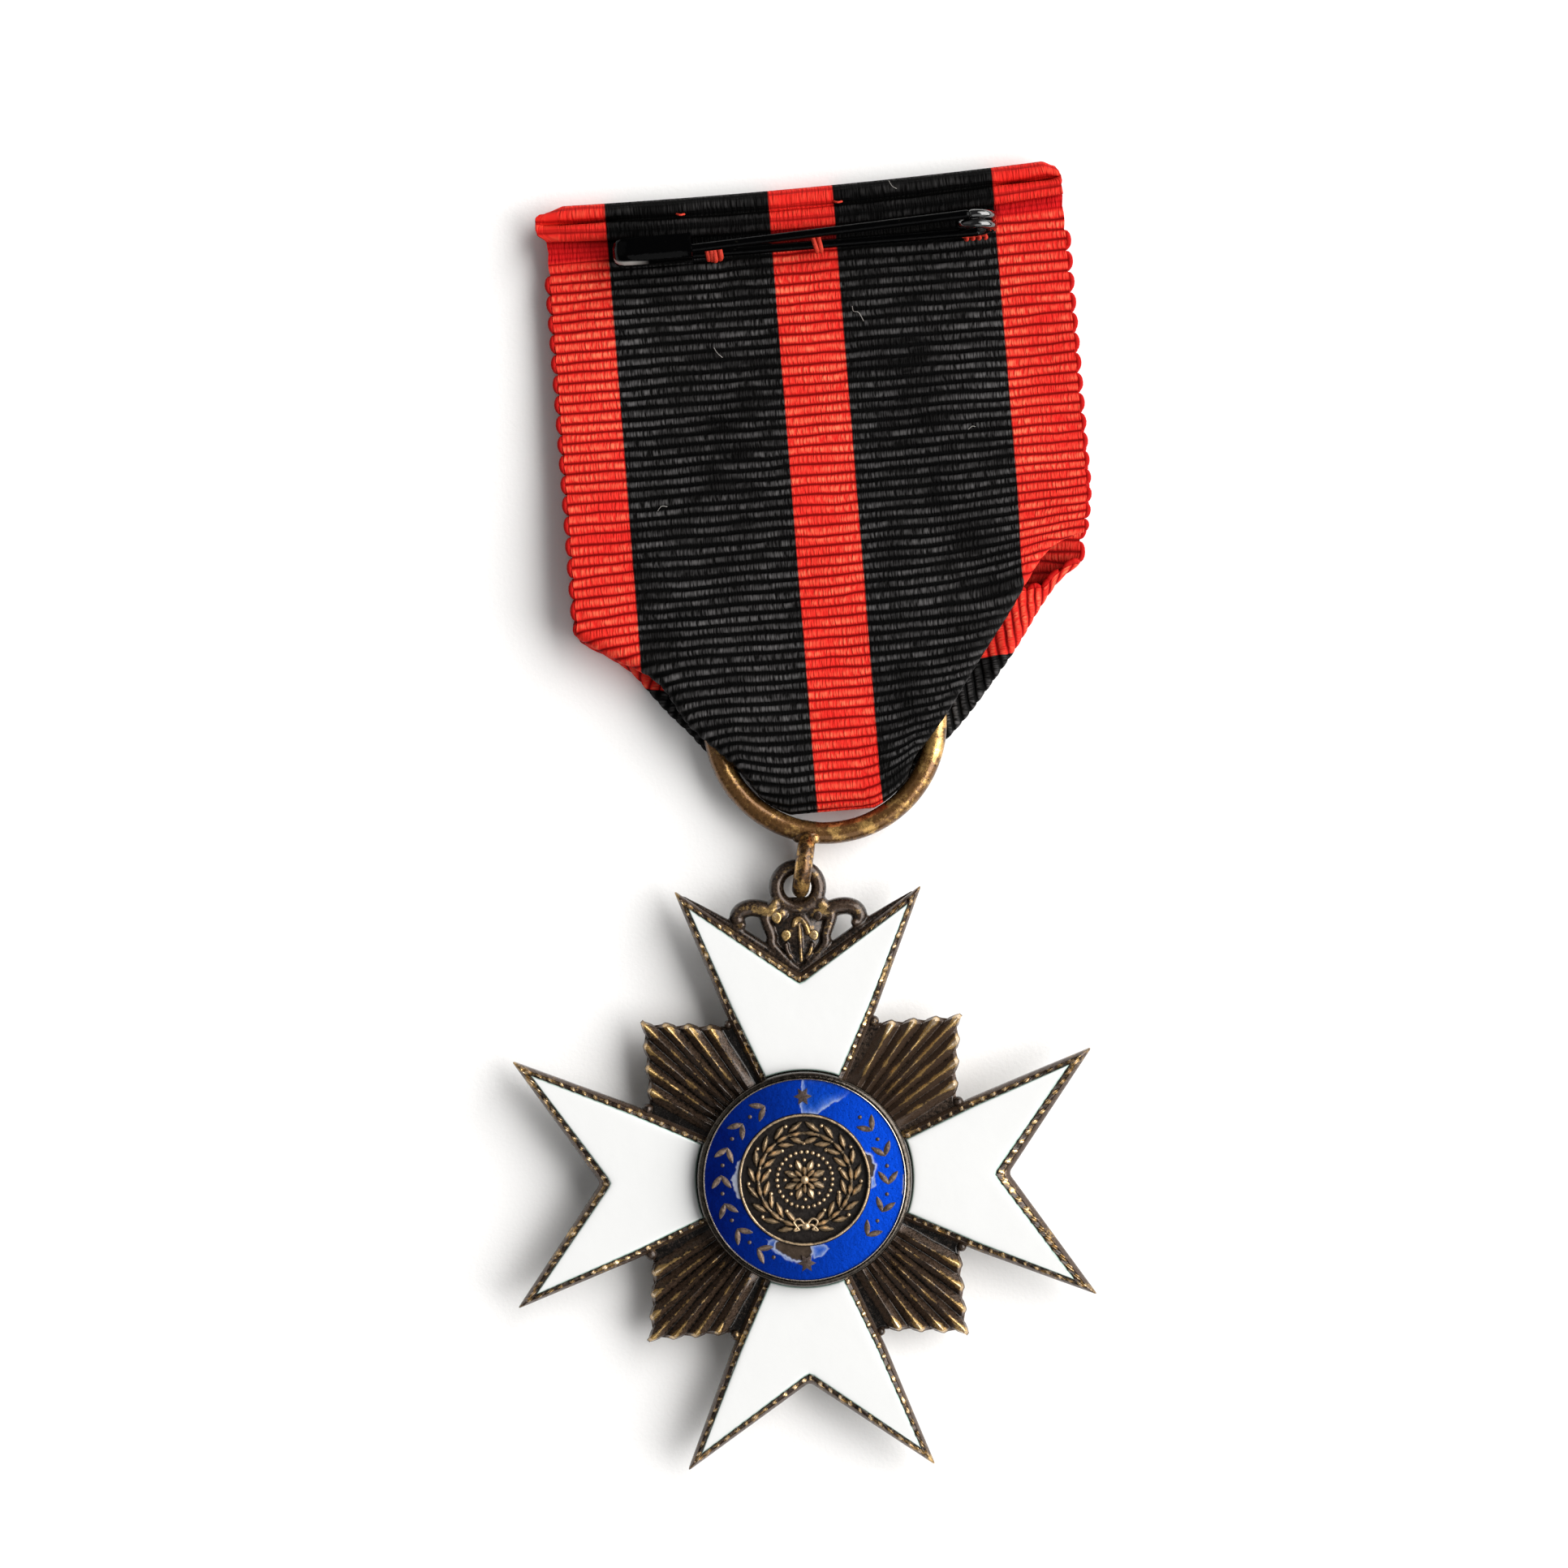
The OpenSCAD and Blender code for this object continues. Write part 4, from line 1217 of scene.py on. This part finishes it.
        # Painted shade: the pocket in the lower layer's right corner and the line under the pin are painted
        # dark, where shadow falls
        pocket = (within(flat, 7.2, 8.2, 9.5, 13.5) * (u > 9) * (not self.upper)).ravel()
        under_pin_shade = (within(flat, 34.75, 34.95, 36.0, 36.5) * (np.abs(u) < 13.6) * self.upper).ravel()
        sheet[2]["dim"] = np.concatenate([0.65 * pocket + 0.97 * under_pin_shade, 0.97 * under_pin_shade])
        return sheet

    def loops(self):
        """The small loops of thread that stand out along both edges, one for every two ribs."""
        turn = np.linspace(0, np.pi, 9)
        last = min(self.length[-1], to_along(RIBS_END_V + 0.2))
        shapes = []
        for side in (-1, 1):
            for k in range(int(last / (2 * RIB))):
                u = side * (HALF_W - 0.26 + 0.24 * np.sin(turn))
                w = (2 * k + 1) * RIB - 0.56 * np.cos(turn)
                size = 0.14 + 0.08 * np.sin(turn)
                shapes.append(tube(self.settle(u, w), size, 8, across=u, along=w, ribbing=1.0, cord=1.0))
        return shapes


def shaped_hem(u, v, z, v0):
    """Places of the cloth with the hem shaped: it sags in its middle, a slit shows between its two
    rolls, and its corners are rounded and drawn together. v0 is v before the cloth was folded."""
    in_second_roll = 1 - rise(v0, 37.6, 38.4)
    sag = (0.35 + 0.35 * in_second_roll) * (1 - (u / HALF_W) ** 2) - 0.15 - 0.15 * in_second_roll
    v = v - sag * rise(v0, 34.5, 36.4)
    slit = np.exp(-(((v - HEM_SLOPE * u - SLIT_V) / 0.24) ** 2)) * (v0 < 38.3) * (z > 1.8)
    z = z - 1.5 * slit * within(np.abs(u), 13.6, 15.0, 17.6, 18.8)
    hem = rise(v0, 36.4, 36.9) * (z > 1.5)
    u = np.where(u < -18, u - 0.7 * hem * (1 - rise(v0, 38.1, 38.7)), u)
    v = v - 0.45 * rise(np.abs(u), 17.6, 19.0) * rise(v, 38.0, 38.8)
    squeeze = np.where(u < 0, 0.75, 0.5) * rise(v, 37.95, 38.95) * rise(np.abs(u), 16.5, 19)
    return np.column_stack([u - np.sign(u) * squeeze, v, z])


def ribbon_layer(name, layer):
    """One layer of the ribbon as a piece: a folded sheet that stands in for the CAD ribbon."""
    piece = make_piece(name, [layer.cloth(), *layer.loops()], silk, sharp=80)
    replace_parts(piece, "ribbon")


# Sections of the two layers beyond the bottom fold, as places along them and heights
FRONT_HEM = [(10, 0.25), (30, 0.25), (37.4, 0.25), (38.1, 0.38), (38.62, 0.8), (38.85, 1.45), (38.75, 2.15),
             (38.42, 2.62), (38.05, 2.66), (37.78, 2.38), (37.6, 2.34), (37.42, 2.72), (37.05, 3.0),
             (36.7, 2.98), (36.42, 2.72), (36.45, 2.42), (36.8, 2.28), (37.6, 2.2), (38.2, 1.9)]
BACK_RISE = [(2, 3.7), (6, 3.7), (12, 3.35), (24, 2.35), (33, 1.95), (36.9, 1.9)]
# Lines that the corners of each layer are folded in along, as places across and along it
FRONT_LEFT = [(-21, 9.4), (-19.3, 8.0), (-18.5, 7.1), (-17.66, 6.53), (-16.8, 6.0), (-15.15, 4.67),
              (-13.9, 3.0), (-12.65, 1.3), (-11.25, -0.4), (-10.45, -1.6), (-8.9, -3.6), (-7.6, -4.6)]
FRONT_RIGHT = [(5.6, -4.6), (8.5, -1.2), (11.4, 2.4), (14.3, 6.0), (15.3, 7.15), (16.6, 8.5), (17.3, 9.1),
               (18.2, 9.7), (19.2, 10.3), (21, 11.3)]
BACK_LEFT = [(-21, 9.5), (-19.4, 8.2), (-18.65, 7.4), (-17.35, 6.45), (-16.15, 5.65), (-14.9, 4.95),
             (-13.85, 4.25), (-13.05, 3.45), (-12.45, 2.5), (-12.0, 1.6), (-11.35, 0.4), (-10.35, -0.85),
             (-9.35, -2.0), (-7.75, -4.1), (-7.2, -4.6)]
BACK_RIGHT = [(4.6, -4.6), (7.2, -0.75), (9.6, 2.85), (12.1, 6.3), (13.9, 8.7), (15.2, 10.25), (16.2, 11.2),
              (17.2, 11.8), (18.2, 12.1), (19.5, 12.5), (21, 13)]
# Where those lines reach the bottom fold, on the cloth
FOLD_LEFT_END = (-6.1, 0.0)
FOLD_RIGHT_END = (4.3, 0.0)


def fold_lines(left, right):
    """A layer's two fold lines on the flat cloth, from their places on the finished layer."""
    left, right = ([(u, to_along(v)) for u, v in line] for line in (left, right))
    return [*left, FOLD_LEFT_END], [FOLD_RIGHT_END, *right]


# Safety pin and threads

def pin_arm():
    """The pin's straight arm and its coil, as two tubes."""
    start = [-13.55, ARM_V, PIN_Z]
    steps = 120
    coil = []
    for i in range(steps + 1):
        a = 2 * math.pi * COIL_TURNS * i / steps - math.pi / 2
        coil.append([COIL_U + COIL_R * math.cos(a), ARM_V + COIL_PITCH * COIL_TURNS * i / steps,
                     PIN_Z + COIL_R + COIL_R * math.sin(a)])
    last = [COIL_U - 0.3, ARM_V + COIL_PITCH * COIL_TURNS, PIN_Z + 2 * COIL_R]
    straight = np.linspace(start, coil[0], 60)
    straight[:, 2] += 0.03 * ripple(straight[:, 0], 0 * straight[:, 0], 8, 4)
    return tube(at_ribbon(straight), PIN_R, 24), tube(at_ribbon(np.vstack([coil, [last]])), PIN_R, 24)


def pin_cap():
    """The pin's cap: a sheet bent round the wire's end, with its mouth along one side."""
    u0, u1 = -14.0, -8.3
    low, side, width, height = PIN_Z - 0.66, ARM_V - 0.66, 2.0, 3.6
    outline = [(width, 1.95), (width, 1.2), (width - 0.15, 0.45), (width - 0.65, 0.13), (width / 2, 0.1),
               (0.55, 0.14), (0.15, 0.55), (0.1, 1.4), (0.1, 2.4), (0.22, 3.1), (0.7, 3.45), (1.2, 3.5),
               (1.7, 3.42), (1.9, 3.3)]
    line = smooth_line(outline, 0.1)
    ease = np.array([0.05, 0.4, 0.7, 0.88, 0.97, 1.0, 1.0, 1.0, 1.0, 1.0, 1.03])
    at = np.array([0.0, 0.02, 0.12, 0.35, 0.7, 1.2, 2.5, 3.8, 4.8, 5.5, u1 - u0])
    middle = np.array([width / 2, height / 2])
    rows = []
    for a, e in zip(at, ease):
        section = (line - middle) * e + middle + (side, low)
        rows.append(np.column_stack([np.full(len(line), u0 + 0.12 + a * 0.98), section]))
    grid = at_ribbon(np.concatenate(rows)).reshape(len(rows), len(line), 3)
    across, along = line[:, 0][None], (u0 + at)[:, None]
    # Painted highlight: a pale patch at the cap's rounded lower end, marked as bare metal, stands for the
    # light's reflection on that curve
    bare = (across < 0.35 + 0.02 * at[:, None]) * (1 - rise(along, -12.9, -12.2)) * (line[:, 1] > 2.9)[None]
    return thick_sheet(grid, 0.12, bare=bare)


def sewing():
    """Red stitches that hold the pin's arm to the cloth, bunched in small coils."""
    shapes = []
    wrap = PIN_R + 0.17
    for u, wide, turns, thread_r in ((-6.75, 1.0, 3.5, 0.19), (0.72, 0.5, 1.5, 0.17)):
        t = np.linspace(0, 2 * np.pi * turns, int(24 * turns))
        uneven = wrap + 0.09 * ripple(t, 0 * t, 5.0, int(10 + u))
        slant = 0.16 * np.cos(t) + 0.12 * ripple(t, 0 * t, 7.0, int(20 + u))
        path = [u + wide * (t / t[-1] - 0.5) + slant, ARM_V - uneven * np.cos(t), PIN_Z + uneven * np.sin(t)]
        shapes.append(tube(at_ribbon(np.column_stack(path)), thread_r, 10))
    t = np.linspace(0, 2 * np.pi * 3.5, 80)
    chain_u = 12.15 + 1.6 * (t / t[-1] - 0.5) + 0.16 * np.sin(t)
    chain = np.column_stack([chain_u, 34.13 + 0.13 * np.cos(t), 2.86 + 0.12 * np.sin(t)])
    shapes.append(tube(at_ribbon(chain), 0.13, 10))
    for u, v in ((-8.97, 37.5), (2.48, 37.5)):
        bit = [(u - 0.25, v + 0.05, 2.75), (u, v - 0.05, 2.98), (u + 0.3, v, 2.75)]
        shapes.append(tube(at_ribbon(smooth_line(bit, 0.08)), 0.08, 8))
    return shapes


def fibres():
    """A few stray pale fibres on the cloth."""
    lines = [
        [(2.93, 29.9, 2.5), (3.0, 29.5, 2.75), (3.36, 29.39, 2.8), (3.67, 28.77, 2.5)],
        [(6.3, 38.7, 2.95), (6.5, 38.3, 3.0), (6.8, 38.1, 2.95)],
        [(-7.3, 27.7, 2.5), (-7.1, 27.3, 2.66), (-6.75, 26.95, 2.5)],
        [(10.6, 20.3, 2.95), (10.9, 20.5, 3.0), (11.1, 20.45, 2.92)],
        [(-12.3, 16.2, 3.2), (-12.0, 16.5, 3.3), (-11.6, 16.45, 3.15)],
    ]
    return [tube(at_ribbon(smooth_line(line, 0.1)), 0.025, 6) for line in lines]


# Build everything

def build_cross():
    """The cross's metal and its white enamel."""
    arms = []
    for k, rim in enumerate(NOTCH_RIMS):
        arms += [moved(arm_frame(rim), degrees=90 * k), moved(arm_web(rim), degrees=90 * k)]
    metal = make_piece("cross_arms", [*arms, hub()], cross_metal, sharp=35)
    rays = [moved(burst(rubbed), degrees=90 * k) for k, rubbed in enumerate(BURST_WEAR_AND_LIGHT)]
    fan = make_piece("cross_rays", [*rays, *solder_spots()], cross_metal, sharp=50)
    hanger, p = melted("cross_hanger", hanger_parts(), cross_metal, 0.075, 4)
    top = rise(p[:, 2] - MID_Z, 0.35, 0.85)
    set_mark(hanger, "wear", 0.05 + 0.62 * top)
    set_mark(hanger, "warm", -0.3 + 1.3 * top)
    studs = make_piece("cross_hanger_studs", hanger_studs(), cross_metal, sharp=50)
    for piece in (metal, fan, hanger, studs):
        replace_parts(piece, "cross_frame")
    for face, side in (("back", 1), ("front", -1)):
        for k, rim in enumerate(NOTCH_RIMS):
            name = f"white_enamel_{face}_{k + 1}"
            shape = moved(arm_enamel(side, rim), degrees=90 * k)
            filling = make_piece(name, [shape], white_enamel)
            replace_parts(filling, f"enamel_{face}_{k + 1}")


def build_medallion():
    """The medallion on the side that shows."""
    bezel = make_piece("medallion_bezel", [medallion_bezel()], bezel_metal, sharp=40)
    disc = make_piece("medallion_disc", medallion_disc(), relief_metal, sharp=40)
    raised = make_piece(
        "medallion_relief", [*wreath(), *rosette()], relief_metal, sharp=60)
    inset = make_piece(
        "medallion_ornaments", blue_ring_ornaments(), ornament_metal, sharp=60)
    for piece in (bezel, disc, raised, inset):
        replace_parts(piece, "medallion_back")
    ring = make_piece("blue_enamel_ring", [blue_ring()], blue_enamel, sharp=60)
    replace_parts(ring, "blue_enamel")


def build_ribbon():
    """The ring with its loop, and the two layers of the ribbon."""
    ring = make_piece("ribbon_ring_wire", ring_and_loop(), ring_metal, sharp=60)
    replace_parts(ring, "ribbon_ring")
    front = RibbonLayer(layer_path(-1, FRONT_HEM), 1, *fold_lines(FRONT_LEFT, FRONT_RIGHT),
                        bows=(0, -0.6), hem_ribs=0.5, drawn_in=1.9, seed=31)
    back = RibbonLayer(layer_path(1, BACK_RISE), -1, *fold_lines(BACK_LEFT, BACK_RIGHT),
                       bows=(-0.5, 0.9), hem_ribs=0.0, drawn_in=0.0, seed=47)
    ribbon_layer("ribbon_front_layer", front)
    ribbon_layer("ribbon_back_layer", back)


def build_pin():
    """The safety pin's arm, coil and cap, with the threads that hold it. Its needle is the CAD's."""
    arm, coil = pin_arm()
    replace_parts(make_piece("pin_arm", [arm], dull_lacquer, sharp=60), "pin_wire")
    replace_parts(make_piece("pin_coil", [coil], gloss_lacquer, sharp=60), "pin_wire")
    cap = make_piece("pin_cap_shell", [pin_cap()], dull_lacquer, sharp=60)
    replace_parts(cap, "pin_cap")
    make_piece("sewing_thread", sewing(), red_thread, sharp=60)
    make_piece("stray_fibres", fibres(), pale_fibre, sharp=60)


def dress_cad_nodes():
    """The two CAD nodes that are shown as they are get their materials."""
    for name, look in (("pin_needle", dull_lacquer), ("medallion_front", relief_metal)):
        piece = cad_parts[name]
        piece.data.materials.clear()
        piece.data.materials.append(look)


# Stage, lights and camera

def build_stage():
    """A wide pale floor."""
    look = Look("pale_paper", Specular_IOR_Level=0.2, Roughness=0.8)
    at = look.place()
    look.feed(Base_Color=look.mix(look.noise(at, 6), (0.95, 0.945, 0.94), (0.97, 0.965, 0.96)))
    look.bump(look.noise(at, 0.3), 0.02)
    mesh = bpy.data.meshes.new("floor")
    half = 1.5
    corners = [(-half, -half, 0), (half, -half, 0), (half, half, 0), (-half, half, 0)]
    mesh.from_pydata(corners, [], [(0, 1, 2, 3)])
    mesh.materials.append(look.material)
    floor = bpy.data.objects.new("floor", mesh)
    bpy.context.scene.collection.objects.link(floor)


def area_light(name, place_at, target, size, power, tone=(1, 1, 1)):
    """A rectangular light at a place, turned towards its target."""
    lamp = bpy.data.lights.new(name, "AREA")
    lamp.shape = "RECTANGLE"
    lamp.size, lamp.size_y = size
    lamp.energy = power
    lamp.color = tone
    held = bpy.data.objects.new(name, lamp)
    held.location = place_at
    held.rotation_euler = (Vector(target) - Vector(place_at)).to_track_quat("-Z", "Y").to_euler()
    bpy.context.scene.collection.objects.link(held)


def build_lights():
    """A strong key light from the right, two weaker lights and a faint sky."""
    middle = (0, 0.028, 0)
    area_light("key", (0.92, 0.24, 0.76), middle, (1.7, 1.25), 34.0, (1.0, 0.99, 0.975))
    area_light("low", (0.65, -0.8, 0.95), middle, (2.2, 1.2), 7.5)
    area_light("fill", (-1.0, 0.3, 0.8), middle, (1.5, 1.2), 1.2)
    world = bpy.data.worlds.new("studio")
    world.use_nodes = True
    background = world.node_tree.nodes["Background"]
    background.inputs["Color"].default_value = (1.0, 1.0, 1.0, 1)
    background.inputs["Strength"].default_value = 0.11
    bpy.context.scene.world = world
    bpy.context.scene.view_settings.view_transform = "Standard"


def build_camera():
    """Straight above, turned a little, framed as in the photograph."""
    photo_width = 1932
    px_per_mm = 17.0
    distance = 0.4
    height = MID_Z * MM + distance
    data = bpy.data.cameras.new("camera")
    data.sensor_width = 36.0
    data.lens = data.sensor_width * distance / (photo_width / px_per_mm * MM)
    data.clip_start, data.clip_end = 0.01, 5.0
    camera = bpy.data.objects.new("camera", data)
    camera.location = (-0.80 * MM, 28.56 * MM, height)
    camera.rotation_euler = (0, 0, math.radians(-1.4))
    bpy.context.scene.collection.objects.link(camera)
    bpy.context.scene.camera = camera


build_camera()
build_stage()
build_lights()
build_cross()
build_medallion()
build_ribbon()
build_pin()
dress_cad_nodes()
